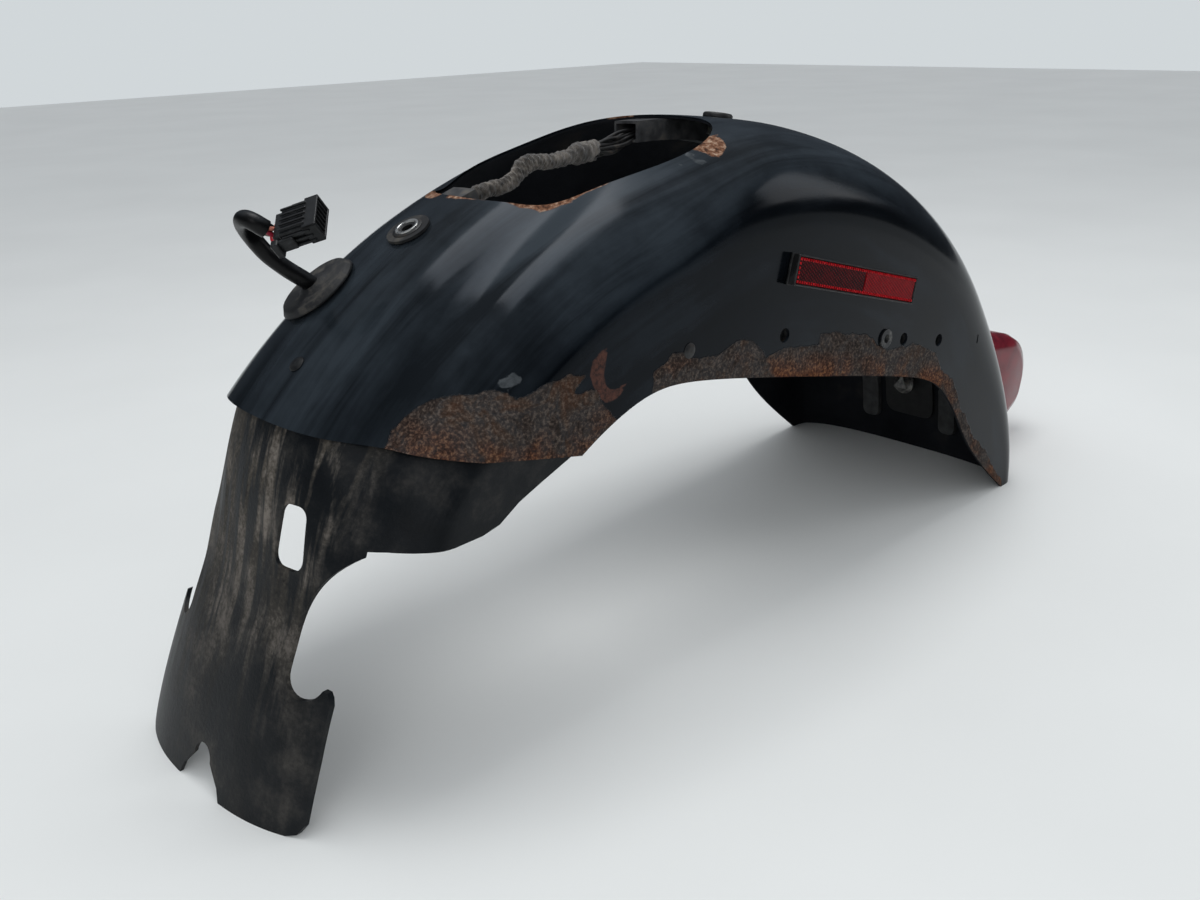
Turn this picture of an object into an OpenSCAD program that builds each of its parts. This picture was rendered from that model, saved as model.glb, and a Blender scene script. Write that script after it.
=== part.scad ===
// Motorcycle rear fender with its front mudguard, harness, side reflectors and tail light.
// The fender is drawn round its wheel axle. Angles count from the rear, at axle height,
// up over the crown to the front, as they lie on the motorcycle. The finished part leans
// back by rest_tilt, as it stands on a bench on its tail edge and on the mudguard's lobes.
// +X points to the tail, +Y to the right side, +Z up, and Z = 0 is the bench.

/* [Crown] */
// Radius from the axle to the crown at its top
crown_r = 398; // [385:1:410]
// How far the crown draws in at the tail
tail_draw = 37; // [25:1:42]
// How far the crown draws in at the front lip
nose_draw = 10; // [0:1:20]
// Width over the side walls
fender_w = 218; // [208:1:230]
// Thickness of the steel sheet
sheet_t = 2; // [1.6:0.1:2.6]
// Fall from the crown to the top of the side wall
shoulder_drop = 66; // [56:1:72]
// Squareness of the shoulder
shoulder_power = 2.76; // [2.3:0.02:3.2]
// Radius across the crown at the front
nose_round = 134; // [122:1:160]
// Depth of the scoop beside the front crown
scoop_depth = 7; // [0:0.5:10]

/* [Edges] */
// Height of the skirt's long straight edge above the axle
skirt_z = 246; // [238:1:252]
// Radius of the wheel arch at both ends of the skirt
arch_r = 287; // [280:1:294]
// Height of the front lip above the axle
lip_z = 204; // [196:1:212]
// Lean of the part as it stands on the bench
rest_tilt = 13; // [12:0.5:14]
// Height of the bench above the axle
bench_z = 78; // [72:1:84]

/* [Seat opening] */
// Angle of the opening's rear edge
opening_rear = 97.8; // [96.6:0.2:99]
// Length of the opening
opening_len = 178; // [166:1:182]
// Width of the opening
opening_w = 134; // [120:1:140]

/* [Mudguard] */
// Step from the lip in to the mudguard
guard_step = 33; // [26:1:36]
// Gap between the mudguard and the fender
guard_gap = 1; // [0.6:0.1:1.6]
// How far the mudguard's foot is warped out of square at its edges
guard_warp = 5; // [0:0.5:8]
// Half width of the neck above the hooks
neck_half = 53; // [48:1:56]
// Half width over the hooks
hook_half = 80; // [78:1:84]
// Height of the hook tips above the bench
hook_z = 76; // [72:1:80]
// Width of the slot
slot_w = 18; // [14:0.5:20]
// Length of the slot
slot_len = 32; // [27:1:35]
// Distance of the slot from the middle, on the left half only
slot_y = 39.5; // [36:0.5:43]
// Height of the slot above the bench
slot_z = 142.5; // [139:0.5:146]

/* [Rivets] */
// Diameter of the rivet shanks
rivet_d = 4.8; // [4:0.1:6]
// Diameter of the rivet heads
rivet_head_d = 9; // [8:0.5:12]
// Angle of the rivet above the lip
rivet_angle = 143.2; // [142:0.2:144]

/* [Strut holes] */
// Height of the strut holes above the axle
strut_z = 270; // [266:0.5:274]
// Bore of the strut holes
strut_bore = 9; // [7:0.5:10]
// Place of the front strut hole along the motorcycle
strut_front_x = -44; // [-50:0.5:-38]
// Place of the bushed strut hole
strut_bushing_x = 69; // [64:0.5:74]
// Place of the middle strut hole
strut_middle_x = 93; // [89:0.5:98]
// Place of the rear strut hole
strut_rear_x = 141; // [136:0.5:146]
// Outer diameter of the bushing in the second hole
bushing_d = 13; // [12:0.5:15]
// Thickness of the strut plates inside the walls
strut_plate_t = 3; // [2:0.5:4]

/* [Seat fixings] */
// Angle of the front seat nut
seat_nut_angle = 129; // [128:0.5:132]
// Outer diameter of the front seat nut's washer
seat_washer_d = 25; // [22:0.5:28]
// Bore of both seat nuts
seat_bore = 6.4; // [5:0.1:8]
// Angle of the rear seat pad
pad_angle = 91.5; // [88:0.5:95]
// Diameter of the rear seat pad
pad_d = 20; // [16:0.5:24]

/* [Harness] */
// Diameter of the taped harness
harness_d = 15; // [12:0.5:17]
// Height inside the harness channels
channel_h = 10; // [9:0.5:12]
// Width of the harness channels
channel_w = 21; // [19:0.5:24]
// Wall of the harness channels
channel_wall = 1.6; // [1.2:0.1:2.2]

/* [Lead] */
// Angle of the grommet
grommet_angle = 136.6; // [135:0.2:138]
// Distance of the grommet from the middle
grommet_y = 27; // [22:1:30]
// Outer diameter of the grommet
grommet_d = 47; // [44:1:50]
// Diameter of the lead's sheath
sheath_d = 9.6; // [8.4:0.2:10.6]
// Length of the connector's body
connector_len = 25; // [22:1:28]

/* [Reflectors] */
// Length of a side reflector
reflector_len = 137; // [125:1:145]
// Height of a side reflector
reflector_h = 19; // [16:0.5:22]
// How far a side reflector stands out
reflector_t = 9; // [7:0.5:11]
// Place of the reflectors' middle along the motorcycle
reflector_x = 16; // [10:1:22]
// Height of the reflectors' middle above the axle
reflector_z = 307; // [303:1:310]

/* [Tail light] */
// Distance from the axle back to the lens's rear face
lens_rear = 416; // [408:1:426]
// Width of the lens
lens_w = 112; // [104:1:118]
// Height of the lens
lens_h = 74; // [68:1:80]
// Depth of the lens
lens_depth = 84; // [78:1:88]
// Wall of the lens
lens_wall = 2.5; // [2:0.1:3.5]
// Height of the lens's middle above the axle
lens_z = 231; // [227:1:235]

/* [Hidden] */

half_w = fender_w / 2;
seat_gap = 0.3;
nut_clearance = 0.2;
guard_inset = sheet_t + guard_gap;
guard_toe = 6;
guard_flat = 9.5;
front_blend = 8;
wall_steps = 3;
crown_steps = 10;
shell_rows = 40;
guard_rows = 24;
strut_x = [strut_front_x, strut_bushing_x, strut_middle_x, strut_rear_x];
nut_x = [strut_front_x, strut_middle_x, strut_rear_x];
seat_nut_d = seat_bore + 5;
seat_flange_d = seat_nut_d + 6;
seat_nut_l = 14;
washer_t = 1.6;
pad_t = 3;
side_rivet_x = -129;
side_rivet_z = strut_z - 10;
rivet_head_t = 1.6;
rivet_y = -7;
grommet_sleeve_d = grommet_d - 11;
grommet_t = 4;
grommet_boss_h = 6;
channel_front_y = 8;
channel_rear_y = 17;
tail_wire_d = 7;
wire_z = 246;
reflector_slope = 2.6;
reflector_wall = 2;
lens_front = lens_rear - lens_depth;
lens_top_r = 42;
lens_bottom_r = 24;
lens_side_r = 20;
spigot_h = 4;
gasket_t = 2.7;
bolt_d = 8;
bolt_z = lens_z - 18;
plate_t = 3;
screw_y = lens_w / 2 - 16;
screw_seat = lens_rear - 8;
lens_edge_r = 12;
screw_d = 4;
bowl_r = 30;
bowl_h = 26;
socket_d = 17;
socket_h = 15;
bulb_d = 18;
connector_w = 11.5;
connector_h = 21.5;
wire_d = 2.4;

// Where the mudguard stands on the bench and how far back the lens reaches, from the axle
foot_r = crown(180) - front_blend / 2 - guard_inset - guard_step + guard_toe;
foot_x = -sqrt(pow(foot_r, 2) - pow(bench_z, 2));
lens_end_x = (lens_rear - lens_top_r) * cos(rest_tilt) + (lens_z + lens_h / 2 - lens_top_r) * sin(rest_tilt) + lens_top_r;
axle_x = -(foot_x + lens_end_x) / 2;

// Route of the lead, from the axle line at bench height
lead_route = [
    [-218, 27, 248], [-222, 27.5, 251.5], [-226.2, 29, 255], [-230.2, 31, 258.6], [-234.2, 33, 262.8], [-238, 34.5, 267.3],
    [-241.5, 35, 272.2], [-245, 34.2, 277.2], [-248.6, 31.4, 281.8], [-251.8, 27, 285.6], [-254, 21.6, 288.2],
    [-254.3, 16.6, 288.9], [-252.6, 13, 287.6], [-250, 11.4, 285.4], [-247.9, 10.8, 283.8]
];
connector_at = [-235, -0.2, 285.7];
connector_turn = [-55, -17, -51];

// A place on the plug, in the bench's frame
function connector_point(p) =
    let (
        a = connector_turn[2], b = -connector_turn[1], c = connector_turn[0],
        y = p[1] * cos(c) - p[2] * sin(c), z = p[1] * sin(c) + p[2] * cos(c), x = p[0] * cos(b) - z * sin(b)
    ) connector_at + [x * cos(a) - y * sin(a), x * sin(a) + y * cos(a), p[0] * sin(b) + z * cos(b)];

function smooth(x) = let (c = min(1, max(0, x))) c * c * (3 - 2 * c);
function low_blend(p, q, k) = (p + q - sqrt(pow(p - q, 2) + k * k)) / 2;
function unit(v) = v / norm(v);

// Crown line: radius from the axle at each angle
function crown(a) = a < 90
    ? crown_r - tail_draw * pow((90 - a) / 66, 3)
    : crown_r - nose_draw * pow((a - 90) / 65, 2);

// How much of the round front form is in the section at an angle
function front_share(a) = smooth((a - 86) / 30);

// The section runs over f from -1 at the left wall to 1 at the right wall
function arc_of(f) = 90 * pow(abs(f), 1.38);
function skin_y(f) = sign(f) * half_w * pow(sin(arc_of(f)), 2 / shoulder_power);
function f_of(y) = sign(y) * pow(asin(pow(abs(y) / half_w, shoulder_power / 2)) / 90, 1 / 1.38);
function fall(a) = shoulder_drop * (1 - 0.55 * smooth((55 - a) / 31));
function scoop_y(a) = 52 + 0.75 * (a - 120);
function scoop(a, y) = scoop_depth * smooth((a - 110) / 14) * smooth((156 - a) / 10)
    * exp(-pow((y - scoop_y(a)) / 16, 2));
function skin_r(a, f) =
    let (
        y = abs(skin_y(f)),
        box = crown(a) - fall(a) * (1 - pow(cos(arc_of(f)), 2 / shoulder_power)),
        round_top = crown(a) - front_share(a) * (nose_round - sqrt(pow(nose_round, 2) - y * y))
    )
    low_blend(box, round_top, front_blend * front_share(a)) - scoop(a, y);

// Lower edge of the side wall: a straight skirt run into the wheel arch, and the tail's flared foot
function skirt_r(a) = low_blend(skirt_z / sin(a), arch_r, 16) + 37 * pow(max(0, 46 - a) / 18, 2);

// A point of the section: beyond f = 1 it goes down the wall
function section(a, c, inset) =
    let (
        f = min(1, max(-1, c)),
        q = max(0, abs(c) - 1)
    )
    [skin_y(f) * (half_w - inset) / half_w, (skin_r(a, f) - inset) * (1 - q) + skirt_r(a) * q];

// From angle, radius and side distance to a place on the bench
function at(a, r, y) = [axle_x + r * cos(a - rest_tilt), y, r * sin(a - rest_tilt) - bench_z];
function place(a, p) = at(a, p[1], p[0]);

// Angles where the shell meets the bench and where the lip is cut level
function foot_angle(c, inset, a = 27, turns = 5) = turns == 0 ? a
    : foot_angle(c, inset, rest_tilt + asin(bench_z / section(a, c, inset)[1]), turns - 1);
function lip_angle(c, inset, a = 146, turns = 8) = turns == 0 ? a
    : lip_angle(c, inset, 180 - asin(lip_z / section(a, c, inset)[1]), turns - 1);

columns = [
    for (k = [wall_steps:-1:1]) -1 - k / wall_steps,
    for (k = [-crown_steps:crown_steps]) k / crown_steps,
    for (k = [1:wall_steps]) 1 + k / wall_steps
];

function shell_grid(inset) = [
    for (i = [0:shell_rows]) [
        for (c = columns)
            let (
                a0 = foot_angle(c, inset),
                a1 = lip_angle(c, inset),
                a = a0 + (a1 - a0) * i / shell_rows
            )
            place(a, section(a, c, inset))
    ]
];

// The mudguard follows the shell's inside above the lip and steps in below it
function guard_top(c) = 141.5 - 30 * smooth((abs(c) - 0.6) / 0.4);
function guard_section(a, c, inset) =
    let (
        f = min(1, max(-1, c)),
        q = max(0, abs(c) - 1),
        edge = skin_y(f) / hook_half,
        // the photograph shows the right edge pushed in a little earlier than the left one
        pushed = f > 0 ? 4 * min(1, edge * edge) : 0,
        step = guard_step * sin(90 * pow(min(1, max(0, (a - 146.5 + pushed) / 17)), 1.3)) - guard_toe * pow(max(0, a - 165) / 15, 2),
        flat = guard_flat * edge * edge * smooth((a - 148) / 12),
        warp = guard_warp * edge * smooth((a - 162) / 20)
    )
    [skin_y(f) * (half_w - inset) / half_w, (skin_r(a, f) - inset - step + flat + warp) * (1 - q) + 262 * q];
function guard_grid(inset) = [
    for (i = [0:guard_rows]) [
        for (c = columns)
            let (a = guard_top(c) + (186 - guard_top(c)) * i / guard_rows)
            place(a, guard_section(a, c, inset))
    ]
];

// A patch that follows the skin at a depth below it, between two angles; its middle goes from ya to yb
function patch_grid(a0, a1, rows, ya, yb, half, cols, depth) = [
    for (i = [0:rows]) [
        for (j = [0:cols])
            let (
                a = a0 + (a1 - a0) * i / rows,
                y = ya + (yb - ya) * i / rows + half * (2 * j / cols - 1)
            )
            at(a, skin_r(a, f_of(y)) - depth, y)
    ]
];

function flatten(grid) = [for (row = grid) for (p = row) p];
function quad(a, b, c, d) = [[a, b, c], [a, c, d]];

// Closed solid between an outer and an inner grid of points
module sheet(outer, inner) {
    n = len(outer);
    m = len(outer[0]);
    s = n * m;
    top = [for (i = [0:n - 2]) for (j = [0:m - 2])
        each quad(i * m + j, (i + 1) * m + j, (i + 1) * m + j + 1, i * m + j + 1)];
    under = [for (i = [0:n - 2]) for (j = [0:m - 2])
        each quad(s + i * m + j + 1, s + (i + 1) * m + j + 1, s + (i + 1) * m + j, s + i * m + j)];
    rear = [for (j = [0:m - 2]) each quad(j, j + 1, s + j + 1, s + j)];
    front = [for (j = [0:m - 2])
        let (o = (n - 1) * m + j)
        each quad(o + 1, o, s + o, s + o + 1)];
    left = [for (i = [0:n - 2]) each quad((i + 1) * m, i * m, s + i * m, s + (i + 1) * m)];
    right = [for (i = [0:n - 2])
        let (o = i * m + m - 1)
        each quad(o, o + m, s + o + m, s + o)];
    polyhedron(concat(flatten(outer), flatten(inner)), concat(top, under, rear, front, left, right));
}

module patch(a0, a1, rows, ya, yb, half, cols, depth, thickness) {
    sheet(
        patch_grid(a0, a1, rows, ya, yb, half, cols, depth),
        patch_grid(a0, a1, rows, ya, yb, half, cols, depth + thickness)
    );
}

// Tube along a route, with a radius for each point
module tube(route, radii, sides) {
    n = len(route);
    rings = [for (i = [0:n - 1])
        let (
            t = unit(route[min(n - 1, i + 1)] - route[max(0, i - 1)]),
            u = unit(cross(t, [0.1, 1, 0])),
            v = cross(t, u)
        )
        for (k = [0:sides - 1])
            route[i] + radii[i] * (cos(360 * k / sides) * u + sin(360 * k / sides) * v)];
    body = [for (i = [0:n - 2]) for (k = [0:sides - 1])
        let (k2 = (k + 1) % sides)
        each quad(i * sides + k, i * sides + k2, (i + 1) * sides + k2, (i + 1) * sides + k)];
    first = [for (k = [sides - 1:-1:0]) k];
    last = [for (k = [0:sides - 1]) (n - 1) * sides + k];
    polyhedron(rings, concat(body, [first], [last]));
}

// The motorcycle's own directions: axle at the origin, X level to the rear
module bike() {
    translate([axle_x, 0, -bench_z]) rotate([0, rest_tilt, 0]) children();
}

// A place on the skin, with Z square to it and X along it to the rear
module on_skin(a, y = 0, lift = 0) {
    f = f_of(y);
    rise = skin_r(a, f_of(y + 2)) - skin_r(a, f_of(y - 2));
    translate(at(a, skin_r(a, f), y)) rotate([0, 90 - (a - rest_tilt), 0]) rotate([atan(rise / 4), 0, 0])
        translate([0, 0, lift]) children();
}

module both_sides() {
    children();
    mirror([0, 1, 0]) children();
}

module rounded_rect(l, h, r) {
    square([l - 2 * r, h], center = true);
    square([l, h - 2 * r], center = true);
    for (x = [-1, 1], z = [-1, 1]) translate([x * (l / 2 - r), z * (h / 2 - r)]) circle(r, $fn = 32);
}

// Ring standing on its lower face
module ring(outer_d, inner_d, h) {
    difference() {
        cylinder(d = outer_d, h = h, $fn = 48);
        translate([0, 0, -1]) cylinder(d = inner_d, h = h + 2, $fn = 48);
    }
}

module across(x, z, d) {
    bike() translate([x, 0, z]) rotate([90, 0, 0]) cylinder(d = d, h = fender_w + 40, center = true, $fn = 32);
}

// Round hole square to the skin
module skin_hole(a, y, d) {
    on_skin(a, y, -20) cylinder(d = d, h = 40, $fn = 32);
}

// Domed rivet through the sheets at the origin
module rivet(grip) {
    rotate_extrude($fn = 32) polygon([
        [0, rivet_head_t], [rivet_head_d * 0.28, rivet_head_t * 0.86], [rivet_head_d * 0.44, rivet_head_t * 0.45],
        [rivet_head_d / 2, seat_gap], [rivet_d / 2 - nut_clearance, seat_gap], [rivet_d / 2 - nut_clearance, -grip], [0, -grip]
    ]);
}

// Opening outline: a long blunt front, widest towards the rear, and a rounder rear end
module opening_outline() {
    wide = 22;
    rear = opening_len / 2 - wide;
    front = opening_len / 2 + wide;
    rear_end = [for (t = [-84:8:84]) [
        wide + rear * pow(cos(t), 1 / 1.1),
        opening_w / 2 * sign(t) * pow(abs(sin(t)), 1 / 1.1)
    ]];
    front_end = [for (t = [90:-7.5:-90]) [
        wide - front * pow(max(0, cos(t)), 8 / 7),
        opening_w / 2 * sign(t) * pow(abs(sin(t)), 2 / 3)
    ]];
    polygon(concat(rear_end, front_end));
}

module seat_opening() {
    on_skin(opening_rear + asin(opening_len / 2 / crown_r), 0, -60) linear_extrude(120) opening_outline();
}

module fender_shell() {
    color("#17181b") difference() {
        sheet(shell_grid(0), shell_grid(sheet_t));
        seat_opening();
        for (x = strut_x) across(x, strut_z, strut_bore);
        across(side_rivet_x, side_rivet_z, rivet_d);
        skin_hole(seat_nut_angle, 0, seat_nut_d + 2 * nut_clearance);
        skin_hole(pad_angle, 0, seat_nut_d + 2 * nut_clearance);
        skin_hole(grommet_angle, grommet_y, grommet_sleeve_d + 2 * nut_clearance);
        skin_hole(rivet_angle, rivet_y, rivet_d);
        bike() translate([200, 0, bolt_z]) rotate([0, 90, 0]) cylinder(d = bolt_d + 1, h = 200, $fn = 32);
        bike() translate([200, 0, wire_z]) rotate([0, 90, 0]) cylinder(d = tail_wire_d + 2, h = 200, $fn = 32);
    }
}

// Front view of the mudguard below the lip: lobes, hooks, neck, notch and slot
module guard_front() {
    throat = 11.5;
    difference() {
        union() {
            translate([-140, hook_z + 70]) square([280, 220]);
            for (s = [-1, 1]) translate([s * 113, hook_z + 80]) square([54, 46], center = true);
            translate([-neck_half, 30]) square([2 * neck_half, hook_z + 45]);
            polygon([
                [11 - hook_half, 0], [hook_half - 11, 0], [hook_half - 6, 2], [hook_half - 3, 7], [hook_half - 1, 40],
                [hook_half, hook_z - 8], [hook_half - 1, hook_z - 4], [hook_half - 4, hook_z - 1], [hook_half - 7, hook_z],
                [7 - hook_half, hook_z], [4 - hook_half, hook_z - 1], [1 - hook_half, hook_z - 4], [-hook_half, hook_z - 8],
                [1 - hook_half, 40], [3 - hook_half, 7], [6 - hook_half, 2]
            ]);
            for (s = [-1, 1]) difference() {
                translate([s * (neck_half + 26.5), hook_z + 43.6]) square([54, 53.2], center = true);
                translate([s * (neck_half + 53), hook_z + 17]) circle(53, $fn = 64);
            }
        }
        for (s = [-1, 1]) {
            translate([s * (neck_half + throat), hook_z + 4]) circle(throat, $fn = 48);
            translate([s * (neck_half + throat), hook_z + 10]) square([2 * throat, 12], center = true);
        }
        translate([-slot_y, slot_z]) offset(r = 6.5, $fn = 40) polygon([
            [-slot_w / 2 + 4.9, 6.5 - slot_len / 2], [slot_w / 2 - 4.9, 6.5 - slot_len / 2],
            [slot_w / 2 - 6.5, slot_len / 2 - 6.5], [6.5 - slot_w / 2, slot_len / 2 - 6.5]
        ]);
        translate([0, 16.5]) circle(8, $fn = 32);
        polygon([[-20, -1], [20, -1], [17, 7], [7.8, 18], [-7.8, 18], [-17, 7]]);
    }
}

// Side view of the mudguard: the wings' lower edge and the web
module guard_side() {
    polygon([
        [-45, 330], [-45, 206], [-120, 186], [-153, 166.5], [-174, 158.5], [-190, 152], [-203, 144], [-214, 141.5], [-231, 141],
        [-249, 141.8], [-258, 142.4], [-264, 142.2], [-268, 134], [-272, 118], [-280, 60], [-284, 0], [-420, 0], [-420, 330]
    ]);
}

module front_mudguard() {
    color("#3a3733") difference() {
        intersection() {
            sheet(guard_grid(guard_inset), guard_grid(guard_inset + sheet_t));
            translate([axle_x - 450, 0, 0]) rotate([90, 0, 90]) linear_extrude(420) guard_front();
            translate([axle_x, 150, 0]) rotate([90, 0, 0]) linear_extrude(300) guard_side();
        }
        skin_hole(rivet_angle, rivet_y, rivet_d);
        across(side_rivet_x, side_rivet_z, rivet_d);
        skin_hole(grommet_angle, grommet_y, grommet_d + 2);
    }
}

module mudguard_rivet() {
    color("#26272a") on_skin(rivet_angle, rivet_y) rivet(2 * sheet_t + guard_gap + 2);
}

module side_rivets() {
    color("#26272a") both_sides() bike()
        translate([side_rivet_x, -half_w, side_rivet_z]) rotate([90, 0, 0]) rivet(2 * sheet_t + guard_gap + 1);
}

// Plate flat against the inside of the left wall, with the strut holes
module strut_plate() {
    front = strut_front_x - 17;
    rear = strut_rear_x + 19;
    bike() difference() {
        translate([(front + rear) / 2, sheet_t - half_w + strut_plate_t, strut_z]) rotate([90, 0, 0])
            linear_extrude(strut_plate_t) rounded_rect(rear - front, 38, 12);
        for (x = strut_x) translate([x, 0, strut_z]) rotate([90, 0, 0])
            cylinder(d = strut_bore, h = fender_w, $fn = 32);
    }
}

module strut_plate_left() {
    color("#202124") strut_plate();
}

module strut_plate_right() {
    color("#202124") mirror([0, 1, 0]) strut_plate();
}

// Flanged bushing through the wall and its plate
module strut_bushing() {
    sleeve = sheet_t + strut_plate_t;
    bike() translate([strut_bushing_x, -half_w, strut_z]) rotate([90, 0, 0]) difference() {
        union() {
            cylinder(d = bushing_d, h = 1.4, $fn = 48);
            translate([0, 0, -sleeve]) cylinder(d = strut_bore - 2 * nut_clearance, h = sleeve + 1, $fn = 48);
        }
        translate([0, 0, -sleeve - 1]) cylinder(d = strut_bore - 3, h = sleeve + 4, $fn = 48);
    }
}

module strut_bushing_left() {
    color("#5b5d60") strut_bushing();
}

module strut_bushing_right() {
    color("#5b5d60") mirror([0, 1, 0]) strut_bushing();
}

// Weld nuts on the plate's inner face
module strut_nuts() {
    for (x = nut_x) bike() translate([x, sheet_t + strut_plate_t - half_w, strut_z]) rotate([-90, 0, 0]) difference() {
        cylinder(d = 2 * strut_bore + 1, h = 7, $fn = 6);
        translate([0, 0, -1]) cylinder(d = strut_bore - 0.6, h = 9, $fn = 32);
    }
}

module strut_nuts_left() {
    color("#3c3a38") strut_nuts();
}

module strut_nuts_right() {
    color("#3c3a38") mirror([0, 1, 0]) strut_nuts();
}

module seat_washer() {
    color("#141414") on_skin(seat_nut_angle, 0, seat_gap) ring(seat_washer_d, seat_nut_d + 2 * nut_clearance, washer_t);
}

// Flanged blind nut standing in the skin
module skin_nut(a, lift) {
    on_skin(a, 0, lift) difference() {
        union() {
            cylinder(d1 = seat_flange_d, d2 = seat_flange_d - 2, h = 1.6, $fn = 48);
            translate([0, 0, -seat_nut_l]) cylinder(d = seat_nut_d, h = seat_nut_l + 1, $fn = 48);
        }
        translate([0, 0, -seat_nut_l - 1]) cylinder(d = seat_bore, h = seat_nut_l + 5, $fn = 48);
    }
}

module seat_nut() {
    color("#77787a") skin_nut(seat_nut_angle, seat_gap + washer_t);
}

module rear_seat_pad() {
    color("#26272a") on_skin(pad_angle, 0, seat_gap) difference() {
        union() {
            cylinder(d = pad_d, h = pad_t - 1, $fn = 48);
            translate([0, 0, pad_t - 1]) cylinder(d1 = pad_d, d2 = pad_d - 2, h = 1, $fn = 48);
        }
        translate([0, 0, -1]) cylinder(d = seat_nut_d + 2 * nut_clearance, h = pad_t + 2, $fn = 48);
    }
}

module rear_seat_nut() {
    color("#77787a") on_skin(pad_angle, 0, pad_t + seat_gap - seat_nut_l) ring(seat_nut_d, seat_bore, seat_nut_l);
}

// Flat duct under the crown, open at both ends
module channel(a0, a1, rows, ya, yb) {
    half = channel_w / 2;
    top = sheet_t + seat_gap;
    difference() {
        patch(a0, a1, rows, ya, yb, half, 2, top, channel_h + 2 * channel_wall);
        patch(a0 - 1, a1 + 1, rows, ya, yb, half - channel_wall, 2, top + channel_wall, channel_h);
    }
}

module front_harness_channel() {
    color("#6f7072") channel(122, 133, 6, channel_front_y, 23);
}

module rear_harness_channel() {
    color("#6f7072") channel(52, 101.5, 22, channel_rear_y, channel_rear_y);
}

function under_skin(a, y, depth) = at(a, skin_r(a, f_of(y)) - depth, y);
channel_mid = sheet_t + seat_gap + channel_wall + channel_h / 2;

// Wrapped harness that bridges the seat opening from one channel to the other
module taped_harness() {
    thin = channel_h / 2 - 1;
    fat = harness_d / 2;
    color("#4a443d") tube(
        [
            under_skin(131, 20.3, channel_mid), under_skin(128, 16.2, channel_mid), under_skin(125, 12.1, channel_mid),
            under_skin(122.3, 8.6, channel_mid), under_skin(119.5, 6.5, channel_mid), under_skin(117, 5, channel_mid + 2),
            under_skin(114, 5, channel_mid + 4), under_skin(111, 7, channel_mid + 4), under_skin(108, 11, channel_mid + 3),
            under_skin(104.8, 15.5, channel_mid), under_skin(102, channel_rear_y, channel_mid),
            under_skin(99, channel_rear_y, channel_mid), under_skin(95, channel_rear_y, channel_mid)
        ],
        [thin, thin, thin, thin, fat * 0.85, fat, fat * 0.93, fat, fat * 0.9, thin, thin, thin, thin], 12
    );
}

// Lead from the rear channel down to the tail light
module tail_harness() {
    color("#232325") tube(
        [
            under_skin(56, channel_rear_y, channel_mid), under_skin(53, channel_rear_y, channel_mid),
            under_skin(50.5, channel_rear_y - 1, channel_mid + 1), under_skin(48, channel_rear_y - 5, channel_mid + 3),
            under_skin(45.5, 6, channel_mid + 6), under_skin(43.3, 2, channel_mid + 7), bike_at(281, 0, wire_z + 2),
            bike_at(287, 0, wire_z), bike_at(296, 0, wire_z), bike_at(306, 0, wire_z)
        ],
        [for (i = [0:9]) tail_wire_d / 2], 10
    );
}

function bike_at(x, y, z) = at(atan2(z, x), norm([x, z]), y);

module harness_grommet() {
    color("#242426") on_skin(grommet_angle, grommet_y) {
        translate([0, 0, 0.8]) cylinder(d1 = grommet_d, d2 = grommet_d - 5, h = grommet_t - 0.8, $fn = 64);
        translate([0, 0, -8]) cylinder(d = grommet_sleeve_d, h = 9, $fn = 64);
        translate([0, 0, grommet_t - 0.5]) cylinder(d1 = sheath_d + 12, d2 = sheath_d + 4, h = grommet_boss_h - grommet_t + 0.5, $fn = 48);
    }
}

function on_bench(p) = p + [axle_x, 0, 0];

module lead_sheath() {
    color("#1c1c1e") tube([for (p = lead_route) on_bench(p)], [for (p = lead_route) sheath_d / 2], 12);
}

// Three wires, each from the sheath's end into its hole in the back of the plug
module lead_wires() {
    sheath_end = lead_route[len(lead_route) - 1];
    color("#2a2a2c") for (s = [-1, 0, 1]) {
        route = [
            sheath_end + 2.2 * s * [0.371, 0.928, 0], connector_point([-connector_len / 2 - 3.6, -0.6, 4.4 * s + 0.4]),
            connector_point([-connector_len / 2 - 2.2, 0, 6 * s]), connector_point([-connector_len / 2 - 0.4, 0, 6.4 * s])
        ];
        tube([for (p = route) on_bench(p)], [for (p = route) wire_d / 2], 8);
    }
}

module at_connector() {
    translate(on_bench(connector_at)) rotate(connector_turn) children();
}

// Moulded plug with three chambers open at its free end
module connector_housing() {
    color("#18181a") at_connector() difference() {
        union() {
            rotate([90, 0, 90]) translate([0, 0, -connector_len / 2]) linear_extrude(connector_len)
                rounded_rect(connector_w, connector_h, 3);
            for (z = [-5, 5]) translate([-1, -connector_w / 2 - 0.5, z]) cube([connector_len - 8, 1.6, 1.6], center = true);
        }
        for (z = [-6.4, 0, 6.4]) translate([connector_len / 2, 0, z]) rotate([0, 90, 0])
            cylinder(d = 4.6, h = 18, center = true, $fn = 24);
        for (z = [-6.4, 0, 6.4]) translate([-connector_len / 2, 0, z]) rotate([0, 90, 0])
            cylinder(d = 3.4, h = 4, center = true, $fn = 24);
    }
}

// Locking tongue under the plug
module connector_lock() {
    color("#101011") at_connector() translate([0, 0, -connector_h / 2 - seat_gap]) {
        translate([-connector_len / 4, 0, -1.2]) cube([connector_len / 2 - 1, 7, 2.4], center = true);
        translate([-connector_len / 2 + 1, 0, -2.4]) cube([3, 9, 4.8], center = true);
    }
}

module on_left_wall() {
    bike() translate([reflector_x, -half_w, reflector_z]) rotate([90, reflector_slope, 0]) children();
}

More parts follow.
